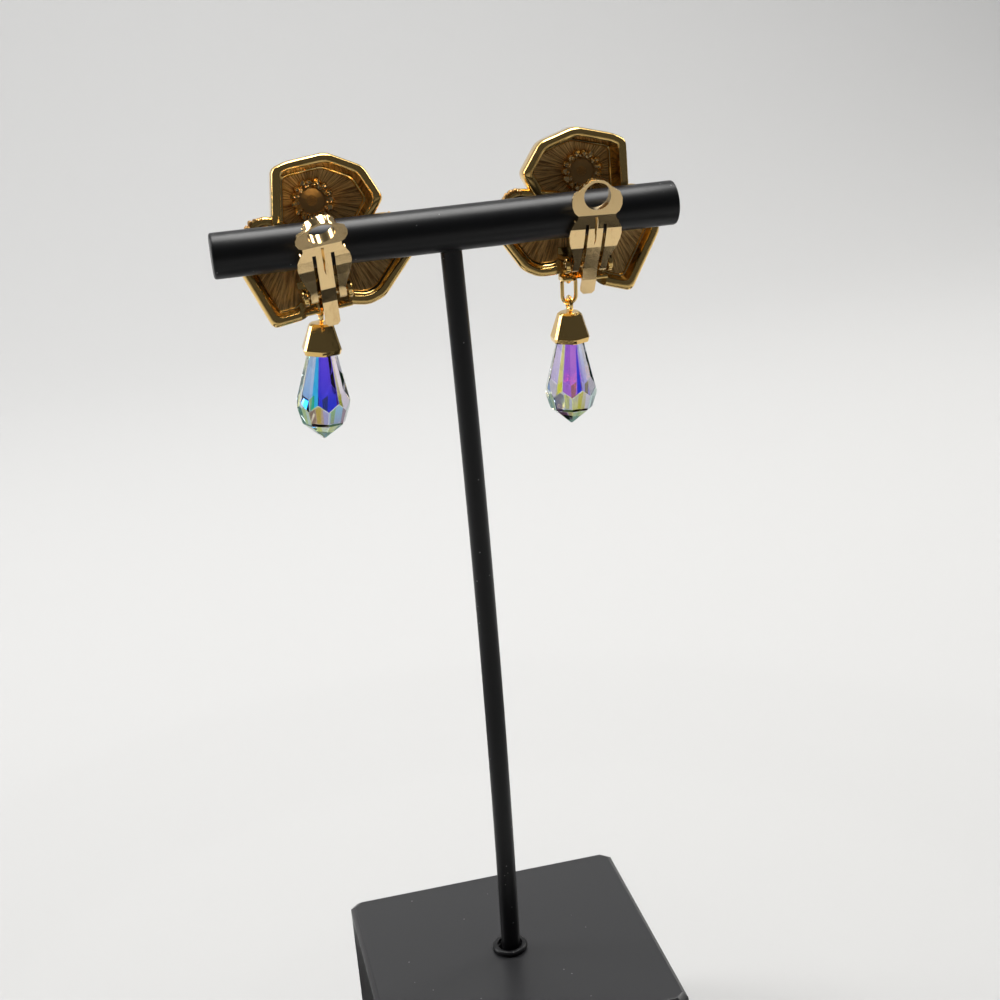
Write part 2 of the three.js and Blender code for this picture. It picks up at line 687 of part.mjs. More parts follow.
piece('stand_base', standBase(), darkBase);
piece('stand_post_and_bar', standTee(), blackMetal);
piece('post_collar', postCollar(), blackMetal);

const turn = THREE.MathUtils.degToRad;

Object.entries(PLACES).forEach(([name, place]) => {
  const { side, at, link } = place;
  const earring = new THREE.Group();
  earring.rotation.set(turn(place.pitch), turn(place.roll), turn(place.yaw), 'ZXY');
  earring.position.set(at[0], at[1], BAR_HEIGHT + at[2]);
  object.add(earring);
  piece(`${name}_flower_casting`, mirrored(casting(place.loop, place.clipTurn), side), gold, earring);
  const hinge = new THREE.Group();
  hinge.position.set(side * CLIP_U, HINGE_V, HINGE_W);
  hinge.rotation.y = side * turn(place.clipTurn);
  earring.add(hinge);
  piece(`${name}_hinge_pin`, rod(PIN_DIAMETER / 2, EAR_SPAN, 14).rotateZ(Math.PI / 2), clipGold, hinge);
  const clip = piece(`${name}_clip_paddle`, mirrored(paddle(place), side), clipGold, hinge);
  clip.rotation.x = turn(place.open);

  earring.updateMatrixWorld(true);
  const hang = earring.localToWorld(new THREE.Vector3(side * place.loop[0], LOOP_V, place.loop[1]));
  const drop = new THREE.Group();
  drop.position.copy(hang);
  drop.rotation.y = turn(place.lean);
  object.add(drop);
  const topWire = -LOOP_INNER / 2 + GAP + WIRE / 2;
  const bottomWire = topWire - (link - WIRE);
  piece(`${name}_drop_link`, dropLink(link), gold, drop).position.z = (topWire + bottomWire) / 2;
  const eyeMiddle = bottomWire + WIRE / 2 + GAP - EYE_INNER / 2;
  const capTop = eyeMiddle - EYE_INNER / 2 - EYE_FOOT;
  const dropCap = piece(`${name}_drop_cap`, cap(), gold, drop);
  dropCap.position.z = capTop;
  const stone = piece(`${name}_crystal_drop`, crystal(), crystalGlass, drop);
  stone.position.z = capTop - CAP_HEIGHT + CRYSTAL_SEAT - CRYSTAL_LENGTH;
  stone.rotation.z = turn(place.stoneTurn);
});

export default object;
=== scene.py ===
import json
import math

import bmesh
import bpy
import numpy as np
from mathutils import Matrix, Vector

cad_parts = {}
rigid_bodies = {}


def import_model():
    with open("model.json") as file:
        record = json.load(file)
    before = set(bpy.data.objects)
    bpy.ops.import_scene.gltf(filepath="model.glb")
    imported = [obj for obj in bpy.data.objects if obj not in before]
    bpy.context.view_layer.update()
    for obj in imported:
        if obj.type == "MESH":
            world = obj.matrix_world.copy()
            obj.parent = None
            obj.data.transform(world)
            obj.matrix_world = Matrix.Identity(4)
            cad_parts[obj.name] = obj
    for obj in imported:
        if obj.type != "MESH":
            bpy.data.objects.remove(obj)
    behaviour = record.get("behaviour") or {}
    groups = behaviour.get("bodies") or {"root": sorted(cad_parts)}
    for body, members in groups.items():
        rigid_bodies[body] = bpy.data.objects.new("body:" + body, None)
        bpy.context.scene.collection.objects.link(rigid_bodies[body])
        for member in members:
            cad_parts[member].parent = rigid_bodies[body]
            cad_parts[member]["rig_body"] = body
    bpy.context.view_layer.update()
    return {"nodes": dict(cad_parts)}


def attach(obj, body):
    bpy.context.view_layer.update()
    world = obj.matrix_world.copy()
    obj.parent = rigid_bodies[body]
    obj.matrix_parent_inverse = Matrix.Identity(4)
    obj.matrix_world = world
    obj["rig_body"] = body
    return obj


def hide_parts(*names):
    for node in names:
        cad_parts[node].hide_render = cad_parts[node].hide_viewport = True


bl_info = {
    "name": "Clip-on drop earrings on a T-bar stand",
    "version": (1, 0, 0),
    "blender": (4, 5, 0),
    "location": "View3D > Sidebar > Earrings",
    "description": "Dresses the solids of a pair of clip-on drop earrings and their stand",
    "category": "Object",
}

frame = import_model()

# Lengths below are in millimetres, and a finished mesh is in metres
MM = 0.001

# Where each earring sits on the bar, as in the solids
BAR_HEIGHT = 148.8
PLACES = {
    "left": {
        "side": 1, "yaw": 1.5, "pitch": -10, "roll": -2, "at": (-17.6, 4.05, 0.35),
        "clip_turn": -4, "open": 37, "loop": (-0.9, -8), "link": 3.3, "lean": 4.7, "stone": 4,
        "arm_bends": [(1.2, 0), (5.6, 0.32), (7.9, 0.16)],
        "tongue_bends": [(-4.6, 0.34), (-0.5, 0.04), (2, 0.32), (7.9, 0.16)],
    },
    "right": {
        "side": -1, "yaw": -1.5, "pitch": -5, "roll": 10, "at": (20.9, 4.5, 0.05),
        "clip_turn": 8, "open": 21.5, "loop": (0.1, -10.2), "link": 4.7, "lean": 2.2,
        "stone": -13,
        "arm_bends": [(1.2, 0), (4.2, 0)],
        "tongue_bends": [(-4.6, 0), (-2, 0.26), (4, 0)],
    },
}

# Petals seen from behind as (across, up, rim depth)
TOP_PETAL = {
    "middle": (1.2, 5),
    "outline": [
        (-6.7, 1.9, -1.2), (-5.4, 10.1, -1.1), (-3.3, 10.8, -1.1), (2.5, 11.3, -1.1),
        (7.5, 8.7, -1.1), (9.7, 3.9, -1.1), (7.4, 0.9, -0.2), (4.2, -2.4, 0.3),
        (0.6, -3.6, 0.4), (-3, -2.6, 0.3),
    ],
    "floor": 2.6, "front": 6.2, "brush": (0, 5),
}
OUTER_PETAL = {
    "middle": (-6.6, -4.4),
    "outline": [
        (-9.7, 2.7, 0), (-9, 3.6, 0), (-7, 3.9, 0), (-3.4, 2, 0), (-0.6, -1.2, 0),
        (-0.6, -7.9, 0), (-3.9, -11.2, 0), (-8.7, -11.8, -0.4), (-12.2, -2.6, 0),
        (-11.6, -0.6, 0),
    ],
    "floor": 1.5, "front": 4.6, "brush": (-2.5, 1.5),
}
INNER_PETAL = {
    "middle": (6, -4.2),
    "outline": [
        (3.2, 2, 0), (10.2, 1.9, 0.2), (11.7, 0.6, 0.2), (13.5, -3.9, 0.3),
        (7.9, -9.9, 0.4), (5.4, -10.7, 0.5), (2.6, -10.2, 0.4), (-1, -7.6, 0),
        (-1.2, -1.2, 0),
    ],
    "floor": 1.5, "front": 4.6, "brush": (2.5, 1.5),
}
RIM_WIDTH = 0.75
WALL_LEAN = 0.5
LEDGE_WIDTH = 0.3
FLOOR_DISH = 0.2
ROSETTE_UP = 5
ROSETTE_DISH = 1.7
ROSETTE_REACH = 3.2
BEAD_SIZE = 0.48
BEAD_DEPTH = 0.42

# Bracket, pin, loop, link and the clip's tongue
CLIP_ACROSS = -0.8
HINGE = (-2.7, -7.9)
EAR_SPAN = 6.9
EAR_THICKNESS = 0.6
EAR_ROUND = 1.25
PIN_HOLE = 0.7
BRACKET_FLOOR = 1.2
LIP_DROP = 2.6
LIP_DEPTH = -0.9
LIP_THICKNESS = 0.6
PLATE_RISE = 2.2
PLATE_SINK = 0.7
ROOM_RISE = 2.5
LOOP_DEPTH = 4.4
LOOP_INNER = 0.9
WIRE = 0.3
LINK_WIDTH = 2.7
GAP = 0.3
STEM_HALF = 0.6
STEM_HEIGHT = 1.4
TONGUE_WIDTH = 2.1
TONGUE_TOP = 8

# Stand
BAR_EDGE = 0.35
POST_FOOT = 20.3
POST_BOW = 1.5

# Rounding of the sheet's and caps' edges, in metres
SOFT_EDGE = 0.00008

TINT = {"subtype": "COLOR", "size": 3, "min": 0, "max": 1}


class StandSizes(bpy.types.PropertyGroup):
    """Sizes and colours of the stand."""

    bar_diameter: bpy.props.FloatProperty(
        name="Bar diameter", description="Diameter of the black bar", default=0.00635,
        min=0.004, max=0.012, unit="LENGTH",
    )
    bar_length: bpy.props.FloatProperty(
        name="Bar length", description="Length of the black bar", default=0.0664,
        min=0.04, max=0.12, unit="LENGTH",
    )
    post_diameter: bpy.props.FloatProperty(
        name="Post diameter", description="Diameter of the post", default=0.0031,
        min=0.002, max=0.006, unit="LENGTH",
    )
    rod_color: bpy.props.FloatVectorProperty(
        name="Rod colour", description="Gloss black of the bar and post",
        default=(0.006, 0.006, 0.007), **TINT,
    )
    base_color: bpy.props.FloatVectorProperty(
        name="Base colour", description="Dark grey of the block",
        default=(0.03, 0.03, 0.032), **TINT,
    )


class GoldSizes(bpy.types.PropertyGroup):
    """Sizes and colours of the castings, clips and caps."""

    rim_round: bpy.props.FloatProperty(
        name="Rim rounding", description="Radius of the petals' outer rims", default=0.00055,
        min=0.0003, max=0.001, unit="LENGTH",
    )
    grain_count: bpy.props.IntProperty(
        name="Rosette grains", description="Grains in the rosette's outer row", default=15,
        min=8, max=24,
    )
    grain_size: bpy.props.FloatProperty(
        name="Grain size", description="Radius of a rosette grain", default=0.00056,
        min=0.0003, max=0.001, unit="LENGTH",
    )
    gold_color: bpy.props.FloatVectorProperty(
        name="Cast gold", description="Polished gold of rims, link and caps",
        default=(0.92, 0.62, 0.22), **TINT,
    )
    floor_color: bpy.props.FloatVectorProperty(
        name="Petal floor", description="Brushed brown gold of the petals' floors",
        default=(0.72, 0.47, 0.18), **TINT,
    )
    clip_color: bpy.props.FloatVectorProperty(
        name="Clip gold", description="Paler gold of the stamped clips",
        default=(0.94, 0.68, 0.34), **TINT,
    )


class CrystalSizes(bpy.types.PropertyGroup):
    """Look of the cut crystal drops."""

    edge: bpy.props.FloatProperty(
        name="Facet edge", description="Width of the polished edge between facets",
        default=0.00006, min=0, max=0.0002, unit="LENGTH",
    )
    # The coat strength also sets how strongly the painted reflections and shade on the facets
    # show.
    coat: bpy.props.FloatProperty(
        name="Rainbow coat", description="Strength of the coat's colours", default=1.0,
        min=0, max=1.5,
    )


# Mesh helpers


def linked(name, data):
    """A new object in the scene."""
    item = bpy.data.objects.new(name, data)
    bpy.context.scene.collection.objects.link(item)
    return item


def edited(data, change, result=None):
    """The mesh, or another one, after a change through bmesh."""
    work = bmesh.new()
    work.from_mesh(data)
    change(work)
    work.to_mesh(result or data)
    work.free()
    return result or data


def outward(data):
    """Turns the faces of a closed mesh outwards."""
    return edited(data, lambda work: bmesh.ops.recalc_face_normals(work, faces=work.faces))


def arc(radius, begin=0, end=360, count=32, whole=True):
    """Points on an arc given in degrees. A whole circle doesn't repeat its first point."""
    turns = np.radians(np.linspace(begin, end, count, endpoint=not whole))
    return [(radius * math.cos(a), radius * math.sin(a)) for a in turns]


def lofted(name, rings, slots=(0,), ends=(None, None), centre=(0, 0), joined=False):
    """A closed mesh through rings, with a slot for each band and the brush coordinates."""
    count = len(rings[0])
    points = [tuple(point) for ring in rings for point in ring]
    faces, kept = [], []
    for r in range(len(rings) - (not joined)):
        a, b = r * count, (r + 1) % len(rings) * count
        for i in range(count):
            j = (i + 1) % count
            faces.append((a + i, a + j, b + j, b + i))
            kept.append(slots[min(r, len(slots) - 1)])
    for at, way in () if joined else ((0, -1), (-1, 1)):
        tip = len(points)
        points.append(tuple(np.mean(rings[at], 0) if ends[at] is None else ends[at]))
        start = at % len(rings) * count
        for i in range(count):
            faces.append((*(start + i, start + (i + 1) % count)[::way], tip))
            kept.append(slots[at])
    data = bpy.data.meshes.new(name)
    data.from_pydata(points, [], faces)
    data.polygons.foreach_set("material_index", kept)
    brush = []
    for x, _, z in points:
        reach = math.hypot(z - centre[1], x - centre[0])
        turn = math.atan2(z - centre[1], x - centre[0])
        brush += [math.cos(turn), math.sin(turn), reach]
    layer = data.attributes.new("brush", "FLOAT_VECTOR", "POINT")
    layer.data.foreach_set("vector", brush)
    return outward(data)


def block(low, high, edge=0.08):
    """A bevelled box as a mesh."""
    work = bmesh.new()
    bmesh.ops.create_cube(work, size=1)
    low, high = Vector(low), Vector(high)
    for point in work.verts:
        point.co = Vector(
            [(low[k] + high[k]) / 2 + point.co[k] * (high[k] - low[k]) for k in range(3)]
        )
    bmesh.ops.bevel(
        work, geom=work.edges[:], offset=edge, segments=2, profile=0.5, affect="EDGES"
    )
    data = bpy.data.meshes.new("block")
    work.to_mesh(data)
    work.free()
    return data


def tube(path, radius, sides=16):
    """A closed round wire along points that lie in one plane."""
    path = [Vector(p) for p in path]
    before, after = path[-1:] + path[:-1], path[1:] + path[:1]
    normal = sum((a.cross(b) for a, b in zip(path, after)), Vector()).normalized()
    rings = []
    for last, here, ahead in zip(before, path, after):
        side = (ahead - last).normalized().cross(normal).normalized()
        rings.append([here + side * c + normal * s for c, s in arc(radius, count=sides)])
    return lofted("wire", rings, joined=True)


def lathe(profile, sides=64, axis="X"):
    """A closed shape turned about X or Y from (radius, along) pairs."""
    rings = [
        [(along, c, s) if axis == "X" else (c, along, s) for c, s in arc(radius, count=sides)]
        for radius, along in profile
    ]
    return lofted("turned", rings)


def union(name, parts):
    """Joins (mesh, matrix, slot offset) parts into one mesh and keeps their brush attribute."""
    points, faces, slots, brush = [], [], [], []
    for data, matrix, offset in parts:
        first = len(points)
        flipped = matrix.determinant() < 0
        points += [tuple(matrix @ v.co) for v in data.vertices]
        for polygon in data.polygons:
            corners = [first + i for i in polygon.vertices]
            faces.append(corners[::-1] if flipped else corners)
            slots.append(polygon.material_index + offset)
        own = np.zeros(len(data.vertices) * 3, np.float32)
        if "brush" in data.attributes:
            data.attributes["brush"].data.foreach_get("vector", own)
        brush.append(own)
    whole = bpy.data.meshes.new(name)
    whole.from_pydata(points, [], faces)
    whole.polygons.foreach_set("material_index", slots)
    layer = whole.attributes.new("brush", "FLOAT_VECTOR", "POINT")
    layer.data.foreach_set("vector", np.concatenate(brush))
    return whole


def evaluated(data, add_modifiers):
    """The mesh with modifiers applied, through a passing object."""
    passing = linked("passing", data)
    add_modifiers(passing)
    bpy.context.view_layer.update()
    graph = bpy.context.evaluated_depsgraph_get()
    result = bpy.data.meshes.new_from_object(
        passing.evaluated_get(graph), preserve_all_data_layers=True, depsgraph=graph
    )
    bpy.data.objects.remove(passing)
    return result


def smooth(data, angle=35):
    """Smooth shading with edges over the angle kept sharp."""
    data.polygons.foreach_set("use_smooth", [True] * len(data.polygons))
    data.set_sharp_from_angle(angle=math.radians(angle))
    return data


def crisp(data, angle, largest):
    """Smooth shading, but flat on faces over the area in square millimetres."""
    smooth(data, angle)
    for polygon in data.polygons:
        polygon.use_smooth = polygon.area < largest * MM * MM
    return data


def merged(node, flat=1.5):
    """A copy of a solid with its flats merged."""

    def merge(work):
        bmesh.ops.remove_doubles(work, verts=work.verts, dist=1e-6)
        bmesh.ops.dissolve_limit(
            work, angle_limit=math.radians(flat), verts=work.verts, edges=work.edges
        )

    return edited(frame["nodes"][node].data, merge, bpy.data.meshes.new(node))


def rounded(data, edge, steps=2, angle=25):
    """The mesh with its sharp edges rounded."""

    def soften(passing):
        bevel = passing.modifiers.new("edges", "BEVEL")
        bevel.width = edge
        bevel.segments = steps
        bevel.limit_method = "ANGLE"
        bevel.angle_limit = math.radians(angle)
        bevel.use_clamp_overlap = True

    return evaluated(data, soften) if edge > 0 else data


def refined(node, edge, steps=2, angle=25):
    """A copy of a solid with its flats merged and its edges rounded."""
    return rounded(merged(node), edge, steps, angle)


def dressed(name, data, node, materials):
    """Shows the mesh in place of its solid."""
    slots = [polygon.material_index for polygon in data.polygons]
    data.materials.clear()
    for material in materials:
        data.materials.append(material)
    data.polygons.foreach_set("material_index", [min(i, len(materials) - 1) for i in slots])
    piece = linked(name, data)
    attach(piece, frame["nodes"][node]["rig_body"])
    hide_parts(node)
    return piece


def turned(degrees, axis):
    """A turn about an axis."""
    return Matrix.Rotation(math.radians(degrees), 4, axis)


def earring_matrix(place):
    """From the earring's own frame to the row's frame, in millimetres."""
    turns = turned(place["yaw"], "Z") @ turned(place["pitch"], "X") @ turned(place["roll"], "Y")
    across, depth, up = place["at"]
    return Matrix.Translation((across, depth, BAR_HEIGHT + up)) @ turns


def to_row(place):
    """The earring's frame to metres in the row's frame, mirrored on the right."""
    mirror = Matrix.Diagonal((place["side"], 1, 1, 1))
    return Matrix.Scale(MM, 4) @ earring_matrix(place) @ mirror


def hinge_matrix(place):
    """The clip hinge in the unmirrored earring frame."""
    return Matrix.Translation((CLIP_ACROSS, *HINGE)) @ turned(place["clip_turn"], "Y")


def drop_matrix(place):
    """The hanging drop's frame, in metres."""
    across, up = place["loop"]
    hang = earring_matrix(place) @ Vector((place["side"] * across, LOOP_DEPTH, up))
    return Matrix.Scale(MM, 4) @ Matrix.Translation(hang) @ turned(place["lean"], "Y")


# Node groups and materials


def feed(tree, node, inputs):
    """Sets a node's inputs to values, or links them to sockets."""
    for key, value in inputs.items():
        if isinstance(value, bpy.types.NodeSocket):
            tree.links.new(value, node.inputs[key])
        else:
            node.inputs[key].default_value = value


def put(tree, kind, inputs=None, **settings):
    """Adds a node with its settings and inputs, and gives its outputs."""
    node = tree.nodes.new(kind)
    for key, value in settings.items():
        setattr(node, key, value)
    feed(tree, node, inputs or {})
    return node.outputs


def new_group(name, inputs, outputs, kind="Shader", result="Float"):
    """A node group. Each input is a number, or a word for its kind where it has no value."""
    group = bpy.data.node_groups.new(name, f"{kind}NodeTree")
    for label, value in inputs.items():
        word = value if isinstance(value, str) else type(value).__name__.title()
        socket = group.interface.new_socket(
            label, in_out="INPUT", socket_type=f"NodeSocket{word}"
        )
        if word != value:
            socket.default_value = value
    for label in outputs:
        group.interface.new_socket(label, in_out="OUTPUT", socket_type=f"NodeSocket{result}")
    return group, put(group, "NodeGroupInput")


def ended(group, outputs):
    """Links the group's outputs."""
    feed(group, group.nodes.new("NodeGroupOutput"), outputs)
    return group


def reckon(tree, operation, first, second):
    """A sum on two sockets or numbers."""
    return put(tree, "ShaderNodeMath", {0: first, 1: second}, operation=operation)[0]


def spanned(tree, value, low, high, start=0.0, end=1.0):
    """The value mapped from one range to another."""
    return put(tree, "ShaderNodeMapRange", {
        "Value": value, "From Min": low, "From Max": high, "To Min": start, "To Max": end,
    })["Result"]


def mixed(tree, factor, first, second):
    """A blend of two colours."""
    return put(
        tree, "ShaderNodeMix", {"Factor": factor, "A": first, "B": second}, data_type="RGBA"
    )["Result"]


def wear_group():
    """Handling marks: a roughness that varies and a height of soft waves and fine scratches."""
    group, given = new_group(
        "Handling marks",
        {"Vector": "Vector", "Roughness": 0.1, "Spread": 0.08, "Wave size": 300.0,
         "Scratch size": 900.0},
        ("Roughness", "Height", "Mask"),
    )
    cloud = put(group, "ShaderNodeTexNoise", {
        "Vector": given["Vector"], "Scale": given["Wave size"], "Detail": 5.0, "Roughness": 0.6,
    })["Fac"]
    stretched = put(group, "ShaderNodeMapping", {
        "Vector": given["Vector"], "Rotation": (0.3, 0.9, 0.2), "Scale": (1.0, 1.0, 0.06),
    })["Vector"]
    hair = put(group, "ShaderNodeTexNoise", {
        "Vector": stretched, "Scale": given["Scratch size"], "Detail": 3.0, "Roughness": 0.7,
    })["Fac"]
    marks = spanned(group, hair, 0.56, 0.74)
    spread = reckon(group, "MULTIPLY", reckon(group, "MULTIPLY", cloud, marks), given["Spread"])
    rough = reckon(group, "ADD", spread, given["Roughness"])
    return ended(group, {"Roughness": rough, "Height": cloud, "Mask": marks})


def speck_group():
    """Small specks of dust, as a mask."""
    group, given = new_group(
        "Dust specks", {"Vector": "Vector", "Scale": 700.0, "Amount": 0.09}, ("Mask",)
    )
    cells = put(group, "ShaderNodeTexVoronoi", {
        "Vector": given["Vector"], "Scale": given["Scale"], "Randomness": 1.0,
    })
    patches = put(group, "ShaderNodeTexNoise", {
        "Vector": given["Vector"], "Scale": 90.0, "Detail": 2.0,
    })
    dots = reckon(group, "LESS_THAN", cells["Distance"], given["Amount"])
    where = reckon(group, "GREATER_THAN", patches["Fac"], 0.52)
    return ended(group, {"Mask": reckon(group, "MULTIPLY", dots, where)})


def brushed_group():
    """Short brushed lines that fan out along the surface's own brush coordinates."""
    group, given = new_group(
        "Brushed fan", {"Vector": "Vector", "Lines": 26.0, "Length": 0.22}, ("Height", "Mask")
    )
    parts = put(group, "ShaderNodeSeparateXYZ", {"Vector": given["Vector"]})
    where = put(group, "ShaderNodeCombineXYZ", {
        key: reckon(group, "MULTIPLY", parts[key], given[factor])
        for key, factor in (("X", "Lines"), ("Y", "Lines"), ("Z", "Length"))
    })
    lines = put(group, "ShaderNodeTexNoise", {
        "Vector": where[0], "Scale": 1.0, "Detail": 4.0, "Roughness": 0.75, "Distortion": 0.3,
    })["Fac"]
    return ended(group, {"Height": lines, "Mask": spanned(group, lines, 0.4, 0.62)})


SHARED = {
    "Handling marks": wear_group, "Dust specks": speck_group, "Brushed fan": brushed_group,
}


def shared(tree, name, inputs):
    """Adds a shared group to a tree. The group is made at its first use."""
    group = bpy.data.node_groups.get(name) or SHARED[name]()
    return put(tree, "ShaderNodeGroup", inputs, node_tree=group)


def handled(tree, where, roughness, spread, wave=300.0):
    """The handling marks of a surface."""
    return shared(tree, "Handling marks", {
        "Vector": where, "Roughness": roughness, "Spread": spread, "Wave size": wave,
    })


def new_material(name):
    """A material, its tree and its object coordinates."""
    material = bpy.data.materials.new(name)
    material.use_nodes = True
    tree = material.node_tree
    return material, tree, put(tree, "ShaderNodeTexCoord")["Object"]


def shaded(material, inputs):
    """The material with its shader's inputs set or linked."""
    tree = material.node_tree
    feed(tree, tree.nodes["Principled BSDF"], inputs)
    return material


def bumped(tree, height, strength, distance):
    """A normal from a height."""
    return put(tree, "ShaderNodeBump", {
        "Height": height, "Strength": strength, "Distance": distance,
    })["Normal"]


def scaled(color, shares=(1, 1, 1)):
    """The colour with each channel scaled, and its alpha."""
    return (*(c * share for c, share in zip(color, shares)), 1)


def plain_material(name, color, roughness):
    material, _, _ = new_material(name)
    return shaded(material, {"Base Color": scaled(color), "Roughness": roughness})


def polished_metal(name, color, roughness, wave, strength):
    material, tree, where = new_material(name)
    marks = handled(tree, where, roughness, 0.12, wave)
    worn = reckon(tree, "MULTIPLY", marks["Mask"], 0.35)
    return shaded(material, {
        "Base Color": mixed(tree, worn, scaled(color), scaled(color, (0.8, 0.68, 0.5))),
        "Roughness": marks["Roughness"], "Metallic": 1,
        "Normal": bumped(tree, marks["Height"], strength, 0.0002),
    })


def brushed_floor(name, color):
    material, tree, _ = new_material(name)
    own = put(tree, "ShaderNodeAttribute", attribute_name="brush")["Vector"]
    fan = shared(tree, "Brushed fan", {"Vector": own})
    # Brushed lines: the darker part is the grain, and the lighter part is painted highlight
    # streaks brighter than the floor's colour.
    dark, painted_highlight_streak = scaled(color, (0.45, 0.36, 0.3)), scaled(color, (1.5, 1.5, 1.6))
    return shaded(material, {
        "Base Color": mixed(tree, fan["Mask"], dark, painted_highlight_streak),
        "Roughness": spanned(tree, fan["Mask"], 0.0, 1.0, 0.45, 0.3), "Metallic": 1,
        "Normal": bumped(tree, fan["Height"], 0.5, 0.0002),
    })


def dusty_black(name, color, marks, specks, dust, bump, specular):
    """A black surface with handling marks and specks of dust."""
    material, tree, where = new_material(name)
    worn = handled(tree, where, *marks)
    scale, amount = specks
    mask = shared(tree, "Dust specks", {"Vector": where, "Scale": scale, "Amount": amount})[0]
    return shaded(material, {
        "Base Color": mixed(tree, mask, scaled(color), (dust, dust, dust, 1)),
        "Roughness": worn["Roughness"], "Specular IOR Level": specular,
        "Normal": bumped(tree, worn["Height"], *bump),
    })


def coated_crystal(name, coat):
    """Clear glass with the painted colours of its own facets: the coat's colours with painted
    reflections, highlights and shade.
    """
    material, tree, where = new_material(name)
    low, high, strip, place = (
        put(tree, "ShaderNodeAttribute", attribute_name=f"facet_{key}")
        for key in ("low", "high", "strip", "place")
    )
    spot = put(tree, "ShaderNodeSeparateXYZ", {"Vector": place["Vector"]})
    base = mixed(tree, spanned(tree, spot["Y"], 0.15, 0.85), low["Color"], high["Color"])
    past = reckon(tree, "GREATER_THAN", spot["X"], strip["Alpha"])
    striped = mixed(tree, past, base, strip["Color"])
    return shaded(material, {
        # The coat strength blends white into the painted facet colours, painted shade and
        # highlights included.
        "Base Color": mixed(tree, min(coat, 1.0), (1, 1, 1, 1), striped),
        "Roughness": handled(tree, where, 0.0, 0.02)["Roughness"], "Transmission Weight": 1,
        "IOR": 1.5, "Thin Film Thickness": 380, "Thin Film IOR": 1.9,
    })


def gold_materials(sizes):
    """Cast gold, petal floor and clip gold, made once."""
    if "Cast gold" not in bpy.data.materials:
        polished_metal("Cast gold", sizes.gold_color, 0.1, 420, 0.22)
        brushed_floor("Petal floor", sizes.floor_color)
        polished_metal("Clip gold", sizes.clip_color, 0.13, 260, 0.08)
    return [bpy.data.materials[n] for n in ("Cast gold", "Petal floor", "Clip gold")]


# Petals


def inset(outline, distance):
    """Moves every side inward and meets the neighbours again at the corners."""
    count = len(outline)
    area = sum(
        outline[i][0] * outline[(i + 1) % count][1] - outline[(i + 1) % count][0] * outline[i][1]
        for i in range(count)
    )
    turn = math.copysign(1, area)
    moved = []
    for i, corner in enumerate(outline):
        before, after = outline[i - 1], outline[(i + 1) % count]
        first = Vector((before[1] - corner[1], corner[0] - before[0])).normalized()
        second = Vector((corner[1] - after[1], after[0] - corner[0])).normalized()
        bisector = first + second
        reach = turn * distance * 2 / bisector.length_squared
        moved.append((corner[0] + bisector.x * reach, corner[1] + bisector.y * reach, corner[2]))
    return moved


def curved(outline, reach, bend_steps=6, side_steps=5):
    """Rounds each corner with a curve and divides the sides between."""
    count = len(outline)
    bends = []
    for i, corner in enumerate(outline):
        ends = []
        for other in (outline[i - 1], outline[(i + 1) % count]):
            length = math.dist(other[:2], corner[:2])
            share = min(reach / length, 0.35)
            ends.append([c + (o - c) * share for c, o in zip(corner, other)])
        bend = []
        for k in range(bend_steps + 1):
            t = k / bend_steps
            bend.append([
                (1 - t) ** 2 * a + 2 * t * (1 - t) * c + t * t * b
                for a, c, b in zip(ends[0], corner, ends[1])
            ])
        bends.append(bend)
    points = []
    for i, bend in enumerate(bends):
        points.extend(bend)
        start, end = bend[-1], bends[(i + 1) % count][0]
        for k in range(1, side_steps):
            t = k / side_steps
            points.append([a + (b - a) * t for a, b in zip(start, end)])
    return points


def petal_mesh(petal, rim_round):
    """One hollow-backed petal: slot 0 is polished, slot 1 the brushed floor."""
    floor, front = petal["floor"], petal["front"]
    middle_u, middle_w = petal["middle"]
    skin = front - floor
    crown = rim_round + RIM_WIDTH
    wall = crown + WALL_LEAN

    def level(distance, depth, reach=0.9):
        line = curved(inset(petal["outline"], distance), reach)
        return [(u, depth(rim), w) for u, w, rim in line]

    def inward(ring, share, depth):
        return [(u + (middle_u - u) * share, depth, w + (middle_w - w) * share)
                for u, _, w in ring]

    shoulder = level(crown, lambda rim: front)
    rings = [
        inward(shoulder, share, front - skin * drop) for share, drop in (
            (0.8, 0.02), (0.55, 0.07), (0.38, 0.14), (0.22, 0.24), (0.1, 0.36), (0, 0.5),
        )
    ]
    rings += [
        level(rim_round * 1.2, lambda rim: front - skin * 0.7),
        level(rim_round / 2, lambda rim: front - skin * 0.85),
        level(rim_round * 0.1, lambda rim: rim + (front - rim) * 0.42),
        level(0, lambda rim: rim + (front - rim) * 0.3),
    ]
    for k in range(6):
        t = k / 5
        away = rim_round * (2 * t * (1 - t) * 0.1 + t * t)
        lift = rim_round * ((1 - t) ** 2 * 1.6 + 2 * t * (1 - t) * 0.18)
        rings.append(level(away, lambda rim, lift=lift: rim + lift))
    rings += [
        level(rim_round + RIM_WIDTH * 0.5, lambda rim: rim + 0.02),
        level(crown - 0.12, lambda rim: rim + 0.06),
        level(crown, lambda rim: rim + 0.16),
        level((crown + wall) / 2, lambda rim: (rim + floor) / 2, 0.8),
        level(wall, lambda rim: floor - LEDGE_WIDTH, 0.7),
        level(wall + LEDGE_WIDTH * 0.5, lambda rim: floor - LEDGE_WIDTH * 0.8, 0.7),
        level(wall + LEDGE_WIDTH, lambda rim: floor, 0.7),
    ]
    foot, polished = rings[-1], len(rings) - 1
    rings += [
        inward(foot, share, floor + FLOOR_DISH * min(1, share * 2))
        for share in (0.12, 0.25, 0.4, 0.55, 0.7, 0.85)
    ]
    slots = [0] * polished + [1] * (len(rings) - polished)
    ends = (middle_u, front, middle_w), (middle_u, floor + FLOOR_DISH, middle_w)
    return lofted("petal", rings, slots, ends, petal["brush"])


